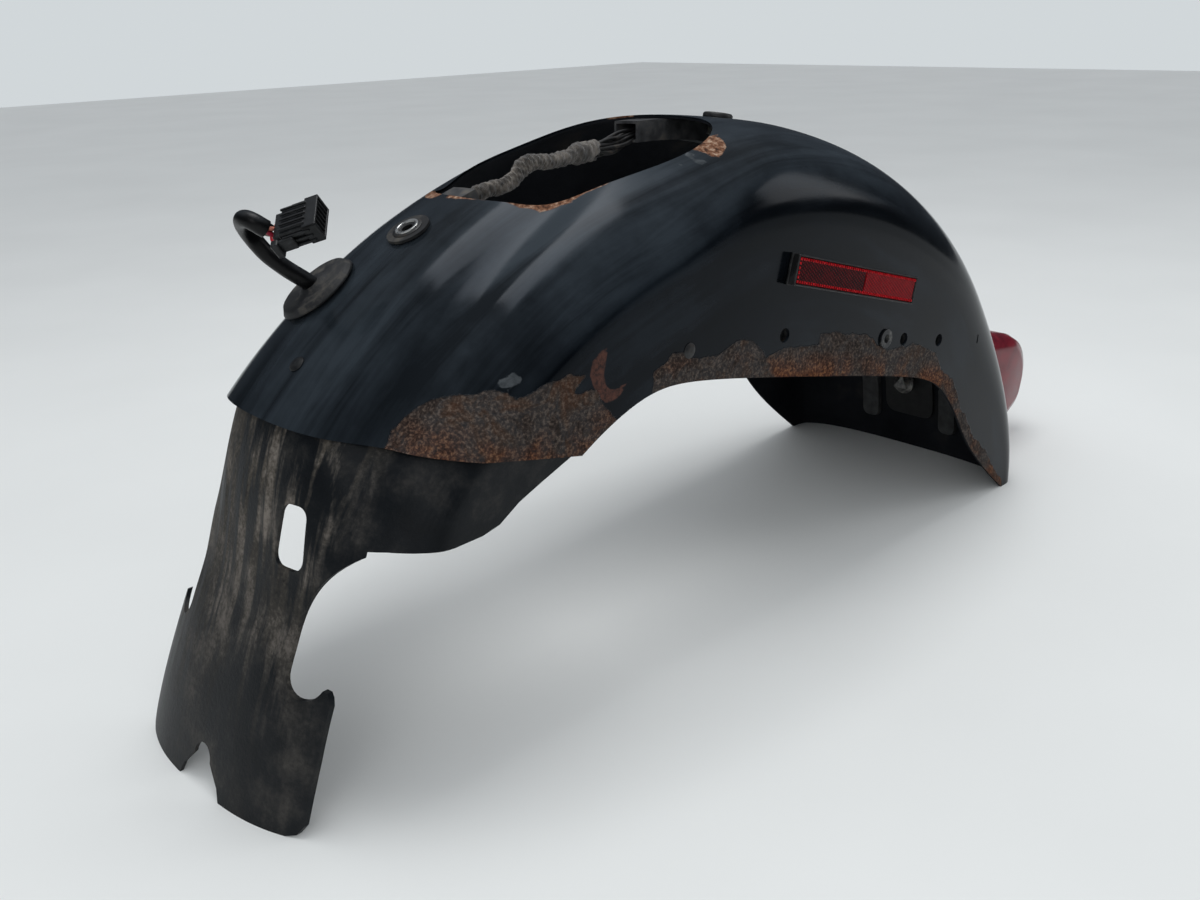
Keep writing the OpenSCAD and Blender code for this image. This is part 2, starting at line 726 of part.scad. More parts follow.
// Black tray of a side reflector, with its frame and the bar between the two panels
module reflector_housing() {
    w = reflector_wall;
    on_left_wall() difference() {
        union() {
            linear_extrude(reflector_t - 1) rounded_rect(reflector_len, reflector_h, 4);
            translate([0, 0, reflector_t - 1.5]) linear_extrude(1.5) rounded_rect(reflector_len - 1.6, reflector_h - 1.6, 3.4);
        }
        for (s = [-1, 1]) translate([2 + s * (reflector_len - 4 - 3 * w) / 4 + s * w / 4, 0, 3]) linear_extrude(reflector_t)
            rounded_rect((reflector_len - 4 - 3 * w) / 2, reflector_h - 2 * w, 1.6);
    }
}

module reflector_lens() {
    w = reflector_wall;
    on_left_wall() for (s = [-1, 1])
        translate([2 + s * (reflector_len - 4 - 3 * w) / 4 + s * w / 4, 0, 3 + seat_gap]) linear_extrude(reflector_t - 3.7)
            rounded_rect((reflector_len - 4 - 3 * w) / 2 - 2 * seat_gap, reflector_h - 2 * w - 2 * seat_gap, 1.4);
}

module reflector_housing_left() {
    color("#141416") reflector_housing();
}

module reflector_housing_right() {
    color("#141416") mirror([0, 1, 0]) reflector_housing();
}

module reflector_lens_left() {
    color("#8c1f1f") reflector_lens();
}

module reflector_lens_right() {
    color("#8c1f1f") mirror([0, 1, 0]) reflector_lens();
}

// Outline of the tail light seen from behind, drawn in by an inset and carried along X
module light_block(x0, x1, inset) {
    bike() translate([x0, 0, lens_z]) rotate([90, 0, 90]) linear_extrude(x1 - x0)
        rounded_rect(lens_w - 2 * inset, lens_h - 2 * inset, lens_side_r - inset);
}

module skin_below(lift) {
    patch(25, 54, 10, 0, 0, 66, 10, -lift, 60);
}

module along_light(y, z, x0, x1, d) {
    bike() translate([x0, y, z]) rotate([0, 90, 0]) cylinder(d = d, h = x1 - x0, $fn = 32);
}

module tail_light_gasket() {
    color("#101011") difference() {
        intersection() {
            patch(26, 52, 10, 0, 0, 62, 10, -seat_gap - gasket_t, gasket_t);
            light_block(230, 350, 1);
        }
        along_light(0, bolt_z, 240, 350, bolt_d + 1);
        along_light(0, wire_z, 240, 350, tail_wire_d + 2);
    }
}

module tail_light_base() {
    color("#131314") difference() {
        union() {
            light_block(262, lens_front, 0);
            light_block(lens_front - 1, lens_front + spigot_h, lens_wall + seat_gap);
        }
        skin_below(gasket_t + 2 * seat_gap);
        light_block(lens_front - 2, lens_front + spigot_h + 1, lens_wall + seat_gap + 2);
        along_light(0, bolt_z, 250, lens_front - 6, bolt_d + 2 * nut_clearance);
        along_light(0, wire_z, 250, lens_front - 14, tail_wire_d + 2);
        for (s = [-1, 1]) along_light(s * screw_y, lens_z, lens_front - 12, lens_front + 2, screw_d + 2 * nut_clearance);
    }
}

// Rounded block of the lens, drawn in by an inset: a large bend at the top, a smaller one at the bottom
module lens_body(inset) {
    hull() {
        rotate([90, 0, 90]) linear_extrude(1) rounded_rect(lens_w - 2 * inset, lens_h - 2 * inset, lens_side_r - inset);
        for (bend = [[lens_top_r, 1], [lens_bottom_r, -1]], k = [0, 0.3, 1])
            translate([lens_depth - bend[0], 0, bend[1] * (lens_h / 2 - bend[0])]) rotate([90, 0, 0])
                cylinder(
                    r = bend[0] - inset - lens_edge_r * (1 - sqrt(1 - pow(1 - k, 2))),
                    h = lens_w - 2 * inset - 2 * lens_edge_r * k,
                    center = true, $fn = 48
                );
    }
}

module tail_light_lens() {
    color("#a3242c") difference() {
        bike() translate([lens_front + seat_gap, 0, lens_z]) {
            difference() {
                lens_body(0);
                translate([-0.5, 0, 0]) lens_body(lens_wall);
            }
            intersection() {
                lens_body(0);
                for (s = [-1, 1]) translate([2, s * screw_y, 0]) rotate([0, 90, 0]) cylinder(d = screw_d + 6, h = lens_depth, $fn = 32);
            }
        }
        for (s = [-1, 1]) {
            along_light(s * screw_y, lens_z, lens_front, lens_rear + 10, screw_d + 2 * nut_clearance);
            along_light(s * screw_y, lens_z, screw_seat, lens_rear + 10, screw_d + 4.6);
        }
    }
}

// Bright bowl behind the bulb
module tail_light_bowl() {
    color("#c8c8c8") bike() translate([lens_front - 2 + seat_gap, 0, lens_z + 2]) rotate([0, 90, 0]) rotate_extrude($fn = 64)
        polygon(concat(
            [for (k = [0:8]) [socket_d / 2 + 0.5 + (bowl_r - socket_d / 2) * k / 8, bowl_h * pow(k / 8, 2)]],
            [for (k = [8:-1:0]) [socket_d / 2 + 0.5 + (bowl_r - socket_d / 2) * k / 8 + 0.6, bowl_h * pow(k / 8, 2) + (k < 1 ? 0 : -1)]]
        ));
}

module bulb_socket() {
    color("#8a8a84") bike() translate([lens_front - 2 + seat_gap, 0, lens_z + 2]) rotate([0, 90, 0]) difference() {
        cylinder(d = socket_d, h = socket_h, $fn = 48);
        translate([0, 0, 3]) cylinder(d = socket_d - 2, h = socket_h, $fn = 48);
    }
}

module bulb() {
    r = bulb_d / 2;
    color("#d8d8d0") bike() translate([lens_front - 2 + 2 * seat_gap + 3, 0, lens_z + 2]) rotate([0, 90, 0]) rotate_extrude($fn = 48)
        polygon(concat([[0, 0], [socket_d / 2 - 1.3, 0], [socket_d / 2 - 1.3, socket_h - 2]],
            [for (a = [-50:10:80]) [r * cos(a), socket_h + 6 + r * sin(a)]], [[0, socket_h + 6 + r]]));
}

module lens_screws() {
    color("#9a9a98") for (s = [-1, 1]) bike() translate([lens_front - 11, s * screw_y, lens_z]) rotate([0, 90, 0]) {
        long = screw_seat - lens_front + 11 + seat_gap;
        cylinder(d = screw_d, h = long + 1, $fn = 32);
        translate([0, 0, long]) difference() {
            cylinder(d1 = screw_d + 4, d2 = screw_d + 2.4, h = 2.4, $fn = 32);
            translate([0, 0, 2]) cube([1, screw_d + 6, 2], center = true);
        }
    }
}

// Rounded plate inside the tail that backs the light's bolt
module tail_light_plate() {
    color("#222326") difference() {
        intersection() {
            patch(26, 42, 6, 0, 0, 30, 4, sheet_t + seat_gap, plate_t);
            bike() translate([240, 0, bolt_z - 6]) rotate([90, 0, 90]) linear_extrude(100) rounded_rect(48, 46, 10);
        }
        along_light(0, bolt_z, 240, 340, bolt_d + 1);
    }
}

module tail_light_bolt() {
    seat = sqrt(pow(crown(34.7), 2) - pow(bolt_z, 2)) - sheet_t - plate_t - 7;
    color("#77746e") bike() translate([seat, 0, bolt_z]) rotate([0, 90, 0]) {
        cylinder(d = bolt_d, h = lens_front - 7 - seat, $fn = 32);
        translate([0, 0, -1.6]) cylinder(d = 2.2 * bolt_d, h = 1.8, $fn = 48);
        translate([0, 0, -8]) cylinder(d = 1.85 * bolt_d, h = 6.5, $fn = 6);
    }
}

// Moulded pads on the inside of the tail edge
module tail_edge_pads() {
    color("#9a9b9c") both_sides() intersection() {
        patch(26, 38, 6, -39, -39, 12, 4, sheet_t + seat_gap, 5);
        bike() translate([240, -39, bolt_z - 17]) rotate([90, 0, 90]) linear_extrude(100) rounded_rect(16, 42, 6);
    }
}

fender_shell();
front_mudguard();
mudguard_rivet();
side_rivets();
strut_plate_left();
strut_plate_right();
strut_bushing_left();
strut_bushing_right();
strut_nuts_left();
strut_nuts_right();
seat_washer();
seat_nut();
rear_seat_pad();
rear_seat_nut();
front_harness_channel();
taped_harness();
rear_harness_channel();
tail_harness();
harness_grommet();
lead_sheath();
lead_wires();
connector_housing();
connector_lock();
reflector_housing_left();
reflector_housing_right();
reflector_lens_left();
reflector_lens_right();
tail_light_gasket();
tail_light_base();
tail_light_lens();
tail_light_bowl();
bulb_socket();
bulb();
lens_screws();
tail_light_plate();
tail_light_bolt();
tail_edge_pads();
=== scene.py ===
"""Motorcycle rear fender, standing on its mudguard and its tail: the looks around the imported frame."""
import math

import bpy
import numpy as np
from mathutils import Matrix, Vector


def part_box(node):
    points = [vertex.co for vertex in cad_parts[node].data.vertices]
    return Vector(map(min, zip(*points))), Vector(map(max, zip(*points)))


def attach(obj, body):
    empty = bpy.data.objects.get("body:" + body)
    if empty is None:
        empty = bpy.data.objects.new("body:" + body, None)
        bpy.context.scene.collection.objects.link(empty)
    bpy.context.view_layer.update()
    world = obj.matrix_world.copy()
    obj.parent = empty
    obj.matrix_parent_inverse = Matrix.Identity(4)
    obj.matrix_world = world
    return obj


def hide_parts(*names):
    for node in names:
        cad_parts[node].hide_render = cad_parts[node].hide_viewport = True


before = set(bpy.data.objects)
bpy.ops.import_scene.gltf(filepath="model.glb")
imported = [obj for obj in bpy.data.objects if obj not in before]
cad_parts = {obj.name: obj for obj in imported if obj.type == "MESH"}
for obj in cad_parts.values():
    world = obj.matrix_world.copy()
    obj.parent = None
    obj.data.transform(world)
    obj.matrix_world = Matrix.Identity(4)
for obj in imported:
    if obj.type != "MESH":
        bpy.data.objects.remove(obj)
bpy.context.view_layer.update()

# ---- Camera, lamps and floor ----------------------------------------------------------------
# The camera stands ahead of the fender's left side and above it, as in the photograph. A big
# soft lamp hangs over the crown and another stands behind the camera, over a pale floor.


def linear(code, alpha=1.0):
    """An sRGB hex colour as the linear values that a socket takes."""
    parts = [int(code[i:i + 2], 16) / 255 for i in (1, 3, 5)]
    return [c / 12.92 if c <= 0.04045 else ((c + 0.055) / 1.055) ** 2.4 for c in parts] + [alpha]


def add(tree, kind, links=None, ramp=None, **settings):
    """Adds a node. links gives its sockets, by name or number, a value, another node or its output."""
    node = tree.nodes.new(kind)
    for name, value in settings.items():
        setattr(node, name, value)
    if ramp:
        stops = node.color_ramp.elements
        while len(stops) < len(ramp):
            stops.new(0.5)
        for stop, (place, shade) in zip(stops, ramp):
            stop.position = place
            stop.color = linear(shade) if isinstance(shade, str) else (shade, shade, shade, 1)
    for name, value in (links or {}).items():
        if isinstance(value, bpy.types.Node):
            value = value.outputs[0]
        if isinstance(value, bpy.types.NodeSocket):
            tree.links.new(value, node.inputs[name])
        else:
            node.inputs[name].default_value = value
    return node


heading, pitch, roll = math.radians(47.31), math.radians(21.51), math.radians(-1.67)
ahead = Vector((math.cos(heading), math.sin(heading), 0))
side = Vector((math.sin(heading), -math.cos(heading), 0))
forward = math.cos(pitch) * ahead - math.sin(pitch) * Vector((0, 0, 1))
upward = math.sin(pitch) * ahead + math.cos(pitch) * Vector((0, 0, 1))
camera_right = math.cos(roll) * side + math.sin(roll) * upward
camera_up = math.cos(roll) * upward - math.sin(roll) * side
camera_data = bpy.data.cameras.new("viewpoint")
camera_data.sensor_width = 36
camera_data.lens = 36 * 1112.69 / 1200
camera_data.clip_start = 0.02
camera = bpy.data.objects.new("viewpoint", camera_data)
camera.matrix_world = Matrix.Translation((-0.56665, -0.50937, 0.38014)) @ Matrix(
    (camera_right, camera_up, -forward)).transposed().to_4x4()
bpy.context.collection.objects.link(camera)
bpy.context.scene.camera = camera
bpy.context.scene.view_settings.view_transform = "Standard"


def lamp(name, place, target, width, height, power):
    data = bpy.data.lights.new(name, "AREA")
    data.shape, data.size, data.size_y, data.energy = "RECTANGLE", width, height, power
    holder = bpy.data.objects.new(name, data)
    holder.location = place
    holder.rotation_euler = (Vector(target) - Vector(place)).to_track_quat("-Z", "Y").to_euler()
    bpy.context.collection.objects.link(holder)


lamp("lamp_over", (0.0, 0.1, 1.6), (0, 0, 0.1), 0.85, 0.65, 9)
lamp("lamp_behind_camera", (-1.6, -1.1, 1.1), (0, 0, 0.2), 0.8, 0.8, 4)
lamp("lamp_tail", (1.5, -1.0, 0.9), (0.2, 0, 0.1), 0.6, 0.8, 3)

world = bpy.data.worlds.new("studio")
bpy.context.scene.world = world
world.use_nodes = True
sky = world.node_tree
sky.nodes.clear()
rays = add(sky, "ShaderNodeLightPath")
seen = add(sky, "ShaderNodeMath", {0: rays.outputs["Is Camera Ray"], 1: rays.outputs["Is Transmission Ray"]},
           operation="MAXIMUM")
# Glossy paint mirrors a room that is bright above and dark at the walls; the rest of the light is even.
direction = add(sky, "ShaderNodeTexCoord")
height = add(sky, "ShaderNodeSeparateXYZ", {0: direction.outputs["Object"]})
room = add(sky, "ShaderNodeValToRGB", {0: height.outputs["Z"]},
           ramp=[(0.0, "#3d4147"), (0.25, "#3a3f46"), (0.55, "#6b727c"), (1.0, "#c9ced4")])
lit = add(sky, "ShaderNodeMixRGB", {0: rays.outputs["Is Glossy Ray"], 1: linear("#dfe2e5"), 2: room})
pale = add(sky, "ShaderNodeMixRGB", {0: seen, 1: lit, 2: linear("#d6dcdf")})
air = add(sky, "ShaderNodeBackground", {"Color": pale, "Strength": 0.95})
add(sky, "ShaderNodeOutputWorld", {0: air})

floor_mesh = bpy.data.meshes.new("floor")
floor_mesh.from_pydata([(-6, -6, 0), (6, -6, 0), (6, 6, 0), (-6, 6, 0)], [], [(0, 1, 2, 3)])
floor = bpy.data.objects.new("floor", floor_mesh)
bpy.context.collection.objects.link(floor)
floor_finish = bpy.data.materials.new("white_laminate")
floor_finish.use_nodes = True
floor_tree = floor_finish.node_tree
floor_shader = floor_tree.nodes["Principled BSDF"]
floor_place = add(floor_tree, "ShaderNodeTexCoord")
scuffs = add(floor_tree, "ShaderNodeTexNoise", {"Vector": floor_place.outputs["Object"], "Scale": 3.0, "Detail": 6.0})
floor_colour = add(floor_tree, "ShaderNodeValToRGB", {0: scuffs}, ramp=[(0.3, "#e0e2e1"), (0.7, "#e5e7e6")])
floor_tree.links.new(floor_colour.outputs[0], floor_shader.inputs["Base Color"])
floor_shader.inputs["Roughness"].default_value = 0.55
floor_mesh.materials.append(floor_finish)

# ---- Lead: sleeve, wires and plug -----------------------------------------------------------
# A lead comes out of the grommet, folds back on itself and ends in a black plug. Its soft PVC
# sleeve is 9.6 mm thick and about 77 mm long, and its wires show between the sleeve and the plug.

axle = -0.06068127


def finish_of(name, **values):
    """A new material and its shader, with even values set on the shader's own sockets."""
    made = bpy.data.materials.new(name)
    made.use_nodes = True
    shader = made.node_tree.nodes["Principled BSDF"]
    for socket, value in values.items():
        shader.inputs[socket.replace("_", " ")].default_value = value
    return made, made.node_tree, shader


def new_piece(name, points, faces, finishes, turns=None, sharp=30):
    """A piece that is smooth except over its sharp edges."""
    mesh = bpy.data.meshes.new(name)
    mesh.from_pydata([tuple(map(float, p)) for p in points], [], faces)
    for made in finishes:
        mesh.materials.append(made)
    if turns is not None:
        mesh.polygons.foreach_set("material_index", turns)
    mesh.validate()
    mesh.shade_smooth()
    mesh.set_sharp_from_angle(angle=math.radians(sharp))
    piece = bpy.data.objects.new(name, mesh)
    bpy.context.collection.objects.link(piece)
    return piece


def smooth_line(points, steps):
    """A smooth curve through the points, with steps places on each stretch."""
    p = np.array(points, float)
    p = np.vstack([2 * p[0] - p[1], p, 2 * p[-1] - p[-2]])
    line = []
    for i in range(1, len(p) - 2):
        for t in np.arange(steps) / steps:
            a, b, c, d = p[i - 1:i + 3]
            line.append(0.5 * (2 * b + (c - a) * t + (2 * a - 5 * b + 4 * c - d) * t * t
                               + (3 * b - 3 * c + d - a) * t ** 3))
    line.append(p[-2])
    return np.array(line)


def tube_along(line, radius, sides, close=True):
    """Points and faces of a tube. radius is called with the place along it, 0 to 1, and round it."""
    tangent = np.gradient(line, axis=0)
    tangent /= np.linalg.norm(tangent, axis=1)[:, None]
    across = np.cross(tangent[0], (0.1, 1, 0.2))
    points = []
    for i, (place, along) in enumerate(zip(line, tangent)):
        across = across - along * (across @ along)
        across /= np.linalg.norm(across)
        third = np.cross(along, across)
        for k in range(sides):
            turn = 2 * math.pi * k / sides
            out = math.cos(turn) * across + math.sin(turn) * third
            points.append(place + out * radius(i / (len(line) - 1), turn))
    faces = [(i * sides + k, i * sides + (k + 1) % sides, (i + 1) * sides + (k + 1) % sides, (i + 1) * sides + k)
             for i in range(len(line) - 1) for k in range(sides)]
    if close:
        faces.append(tuple(range(sides - 1, -1, -1)))
        faces.append(tuple((len(line) - 1) * sides + k for k in range(sides)))
    return points, faces


lead_route = [(-218, 27, 248), (-222, 27.5, 251.5), (-226.2, 29, 255), (-230.2, 31, 258.6), (-234.2, 33, 262.8),
              (-238, 34.5, 267.3), (-241.5, 35, 272.2), (-245, 34.2, 277.2), (-248.6, 31.4, 281.8),
              (-251.8, 27, 285.6), (-254, 21.6, 288.2), (-254.3, 16.6, 288.9), (-252.6, 13, 287.6),
              (-250, 11.4, 285.4), (-247.9, 10.8, 283.8), ]
lead_line = smooth_line([(x / 1000 + axle, y / 1000, z / 1000) for x, y, z in lead_route], 5)
sleeve_radius = 0.0048

# Soft PVC sleeve: matt black, greyed with dust where it faces up, with fine lengthwise creases.
sleeve_finish, tree, shader = finish_of("soft_pvc_sleeve", Roughness=0.36, Specular_IOR_Level=0.2)
place = add(tree, "ShaderNodeTexCoord").outputs["Object"]
dust = add(tree, "ShaderNodeTexNoise", {"Vector": place, "Scale": 160.0, "Detail": 6.0})
tilt_up = add(tree, "ShaderNodeSeparateXYZ", {0: add(tree, "ShaderNodeNewGeometry").outputs["Normal"]})
film = add(tree, "ShaderNodeMath", {0: tilt_up.outputs["Z"], 1: 0.55, 2: dust}, operation="MULTIPLY_ADD")
shade = add(tree, "ShaderNodeValToRGB", {0: film}, ramp=[(0.3, "#030304"), (0.75, "#060607"), (1.15, "#1d1f21")])
tree.links.new(shade.outputs[0], shader.inputs["Base Color"])
crease = add(tree, "ShaderNodeTexNoise", {"Vector": place, "Scale": 420.0, "Detail": 3.0})
bump = add(tree, "ShaderNodeBump", {"Strength": 0.35, "Distance": 0.0004, "Height": crease})
tree.links.new(bump.outputs[0], shader.inputs["Normal"])


def sleeve_shape(t, turn):
    slack = 0.05 * math.sin(9 * t + turn) + 0.02 * math.sin(31 * t + 3 * turn)
    return sleeve_radius * (1 - 0.03 - 0.5 * max(0, slack))


points, faces = tube_along(lead_line, sleeve_shape, 36, close=False)
start, sides = len(points) - 36, 36
inward = lead_line[-1] - lead_line[-3]
inward = inward / np.linalg.norm(inward) * 0.005
for shrink, back in ((0.8, 0.0), (0.78, 1.0)):
    ring = [lead_line[-1] + (np.array(points[start + k]) - lead_line[-1]) * shrink - inward * back
            for k in range(sides)]
    points += ring
for level in (0, 1):
    o = start + level * sides
    faces += [(o + k, o + (k + 1) % sides, o + sides + (k + 1) % sides, o + sides + k) for k in range(sides)]
faces.append(tuple(start + 2 * sides + k for k in range(sides)))
faces.append(tuple(range(sides - 1, -1, -1)))
sleeve = new_piece("lead_sleeve", points, faces, [sleeve_finish], sharp=50)

# The plug's own directions: X runs from the wires to its open end.
plug_place = Matrix.Translation((-0.235 + axle, -0.0002, 0.2857)) @ Matrix.Rotation(math.radians(-51), 4, "Z") \
    @ Matrix.Rotation(math.radians(-17), 4, "Y") @ Matrix.Rotation(math.radians(-55), 4, "X")
plug_length, plug_width, plug_height = 0.025, 0.0115, 0.0215

# PVC wire covering: glossy, one plain colour each.
wire_colours = [("red", "#a8202c"), ("salmon", "#d98a78"), ("tan", "#8c8172"), ("black", "#141415"),
                ("crimson", "#8d1c30")]
wire_finishes = [finish_of("pvc_wire_" + name, Base_Color=linear(code), Roughness=0.35)[0] for name,
                 code in wire_colours]
points, faces, turns = [], [], []
end = Vector(lead_line[-1])
cut = Vector(inward).normalized()
cut_side = cut.cross(Vector((0, 0, 1))).normalized()
cut_up = cut_side.cross(cut)
for k, (u, v) in enumerate(((-1.9, 1.2), (1.8, 1.3), (0.1, -2.0), (-0.2, 2.6), (2.0, -1.2))):
    z = (-0.0066, 0.0066, 0.0002, 0.0032, -0.0034)[k]
    begin = end + cut_side * u / 1000 + cut_up * v / 1000 - cut * 0.003
    leave = end + cut_side * u / 1000 + cut_up * v / 1000 + cut * 0.0012
    near_plug = plug_place @ Vector((-plug_length / 2 - 0.0022, 0.001 * math.sin(k), 0.86 * z))
    inside = plug_place @ Vector((-plug_length / 2 + 0.001, 0, z))
    line = smooth_line([begin, leave, leave.lerp(near_plug, 0.5) + cut * 0.0006, near_plug, inside], 5)
    some, ring_faces = tube_along(line, lambda t, turn: 0.0011, 12)
    faces += [tuple(i + len(points) for i in face) for face in ring_faces]
    turns += [k] * len(ring_faces)
    points += some
wires = new_piece("lead_wire_ends", points, faces, wire_finishes, turns, sharp=60)


def block(points, faces, low, high, edge=0.0004, matrix=None):
    """Adds a block with chamfered edges between two corners."""
    low, high = np.array(low), np.array(high)
    middle, half = (low + high) / 2, (high - low) / 2
    corner = {}
    for sx in (-1, 1):
        for sy in (-1, 1):
            for sz in (-1, 1):
                for flat in range(3):
                    p = np.array([sx, sy, sz]) * half
                    for axis in range(3):
                        if axis != flat:
                            p[axis] -= np.sign(p[axis]) * min(edge, half[axis] * 0.8)
                    p = middle + p
                    corner[sx, sy, sz, flat] = len(points)
                    points.append(tuple(matrix @ Vector(p)) if matrix else tuple(p))
    for flat in range(3):
        a, b = [i for i in range(3) if i != flat]
        for s in (-1, 1):
            loop = []
            for ta, tb in ((-1, -1), (1, -1), (1, 1), (-1, 1)):
                key = [0, 0, 0]
                key[flat], key[a], key[b] = s, ta, tb
                loop.append(corner[(*key, flat)])
            faces.append(tuple(loop if (s > 0) == (flat != 1) else loop[::-1]))
    for line in range(3):
        a, b = [i for i in range(3) if i != line]
        for ta in (-1, 1):
            for tb in (-1, 1):
                ends = []
                for s in (-1, 1):
                    key = [0, 0, 0]
                    key[line], key[a], key[b] = s, ta, tb
                    ends.append((corner[(*key, a)], corner[(*key, b)]))
                loop = (ends[0][0], ends[1][0], ends[1][1], ends[0][1])
                faces.append(loop if (ta * tb > 0) == (line == 1) else loop[::-1])
    for sx in (-1, 1):
        for sy in (-1, 1):
            for sz in (-1, 1):
                loop = tuple(corner[sx, sy, sz, flat] for flat in range(3))
                faces.append(loop if sx * sy * sz > 0 else loop[::-1])


# Moulded nylon plug: satin black, with ribs along it, a latch by the wires and an open toothed end.
plug_finish, tree, shader = finish_of("moulded_nylon_plug", Base_Color=linear("#17181a"), Roughness=0.42)
place = add(tree, "ShaderNodeTexCoord").outputs["Object"]
grain = add(tree, "ShaderNodeTexNoise", {"Vector": place, "Scale": 300.0, "Detail": 5.0})
shade = add(tree, "ShaderNodeValToRGB", {0: grain}, ramp=[(0.4, "#0b0c0d"), (0.62, "#151719"), (0.8, "#303234")])
tree.links.new(shade.outputs[0], shader.inputs["Base Color"])
rough = add(tree, "ShaderNodeMapRange", {"Value": grain, "To Min": 0.3, "To Max": 0.6})
tree.links.new(rough.outputs[0], shader.inputs["Roughness"])
points, faces = [], []
x1, y1, z1 = plug_length / 2, plug_width / 2, plug_height / 2
wall = 0.0013
block(points, faces, (-x1 + 0.004, -y1 + 0.0007, -z1 + 0.0007), (x1 - 0.0062, y1 - 0.0007, z1 - 0.0007), 0.0008,
      plug_place)
block(points, faces, (-x1, -y1 + 0.002, -z1 + 0.002), (-x1 + 0.0045, y1 - 0.002, z1 - 0.002), 0.0006, plug_place)
for low, high in (((x1 - 0.0075, -y1, -z1), (x1, -y1 + wall, z1)), ((x1 - 0.0075, y1 - wall, -z1), (x1, y1, z1)),
                  ((x1 - 0.0075, -y1, -z1), (x1, y1, -z1 + wall)), ((x1 - 0.0075, -y1, z1 - wall), (x1, y1, z1))):
    block(points, faces, low, high, 0.0003, plug_place)
for s in (-1, 1):
    for z in (-0.0072, -0.0036, 0.0, 0.0036, 0.0072):
        block(points, faces, (-x1 + 0.0045, s * y1 - 0.0008, z - 0.0006), (x1 - 0.006, s * y1 + 0.0002, z + 0.0006),
              0.0002, plug_place)
    for y in (-0.0034, 0.0, 0.0034):
        block(points, faces, (-x1 + 0.006, y - 0.0007, s * z1 - 0.0009), (x1 - 0.004, y + 0.0007, s * z1 + 0.0002),
              0.0002, plug_place)
for i in range(6):
    z = -z1 + 0.0030 + i * 0.0031
    block(points, faces, (x1 - 0.006, -y1 + 0.001, z - 0.0004), (x1 - 0.0005, y1 - 0.001, z + 0.0004), 0.0001,
          plug_place)
block(points, faces, (-0.004, -0.0034, z1 - 0.0006), (x1 - 0.001, 0.0034, z1 + 0.0018), 0.0004, plug_place)
plug = new_piece("plug_body", points, faces, [plug_finish], sharp=25)
points, faces = [], []
block(points, faces, (-x1, -0.0036, -z1 - 0.0024), (-0.001, 0.0036, -z1 - 0.0004), 0.0005, plug_place)
block(points, faces, (-x1 - 0.0002, -0.0045, -z1 - 0.0046), (-x1 + 0.0036, 0.0045, -z1 - 0.0002), 0.0005, plug_place)
latch = new_piece("plug_latch", points, faces, [plug_finish], sharp=25)

for piece, node in ((sleeve, "lead_sheath"), (wires, "lead_wires"), (plug, "connector_housing"),
                    (latch, "connector_lock")):
    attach(piece, "root")
    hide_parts(node)

# ---- Fender shell ---------------------------------------------------------------------------
# One deep-drawn sheet of 2 mm steel: a square-shouldered section at the tail that turns into a
# round one with a long scoop each side ahead of the seat opening. Black enamel, rusted along its edges.

fender_half, sheet_thick, rest_tilt, bench_drop = 0.109, 0.002, math.radians(13), 0.078
opening_length, opening_width, opening_angle = 0.178, 0.134, 97.8


def smooth_step(x):
    x = np.clip(x, 0, 1)
    return x * x * (3 - 2 * x)


def lower_of(p, q, k):
    return (p + q - np.sqrt((p - q) ** 2 + k * k)) / 2


def crown_radius(a):
    return np.where(a < 90, 0.398 - 0.037 * (np.maximum(90 - a, 0) / 66) ** 3, 0.398 - 0.010 * ((a - 90) / 65) ** 2)


def across_at(f):
    return np.sign(f) * fender_half * np.sin(np.radians(90 * np.abs(f) ** 1.38)) ** (2 / 2.76)


def skin_radius(a, f):
    bend = np.radians(90 * np.abs(f) ** 1.38)
    y = np.abs(across_at(f))
    drop = 0.066 * (1 - 0.55 * smooth_step((55 - a) / 31))
    boxy = crown_radius(a) - drop * (1 - np.abs(np.cos(bend)) ** (2 / 2.76))
    share = smooth_step((a - 86) / 30)
    rounded = crown_radius(a) - share * (0.134 - np.sqrt(0.134 ** 2 - y * y))
    scoop = 0.007 * smooth_step((a - 110) / 14) * smooth_step((156 - a) / 10) \
        * np.exp(-(((y - 0.052 - 0.00075 * (a - 120)) / 0.016) ** 2))
    return lower_of(boxy, rounded, 0.008 * share) - scoop


def skirt_radius(a):
    return lower_of(0.246 / np.sin(np.radians(a)), 0.287, 0.016) + 0.037 * (np.maximum(0, 46 - a) / 18) ** 2


def section(a, c, inset):
    """Side distance and radius at an angle; beyond c = 1 it goes down the wall."""
    f, q = np.clip(c, -1, 1), np.maximum(0, np.abs(c) - 1)
    return across_at(f) * (fender_half - inset) / fender_half, (skin_radius(a, f) - inset) * (1
                                                                                              - q) + skirt_radius(a) * q


def on_bench(a, r, y):
    turn = np.radians(a) - rest_tilt
    return np.stack([axle + r * np.cos(turn), y * np.ones_like(r), r * np.sin(turn) - bench_drop], axis=-1)


def sheet_between(outer, inner):
    """Closed sheet between two grids of points."""
    rows, cols = outer.shape[:2]
    points = np.concatenate([outer.reshape(-1, 3), inner.reshape(-1, 3)])
    s = rows * cols
    faces = []
    for i in range(rows - 1):
        for j in range(cols - 1):
            o = i * cols + j
            faces.append((o, o + cols, o + cols + 1, o + 1))
            faces.append((s + o + 1, s + o + cols + 1, s + o + cols, s + o))
    for j in range(cols - 1):
        faces.append((j, j + 1, s + j + 1, s + j))
        o = (rows - 1) * cols + j
        faces.append((o + 1, o, s + o, s + o + 1))
    for i in range(rows - 1):
        o = i * cols
        faces.append((o + cols, o, s + o, s + o + cols))
        o += cols - 1
        faces.append((o, o + cols, s + o + cols, s + o))
    return points, faces


def plain_object(name, points, faces):
    mesh = bpy.data.meshes.new(name)
    mesh.from_pydata([tuple(map(float, p)) for p in points], [], faces)
    made = bpy.data.objects.new(name, mesh)
    bpy.context.collection.objects.link(made)
    return made


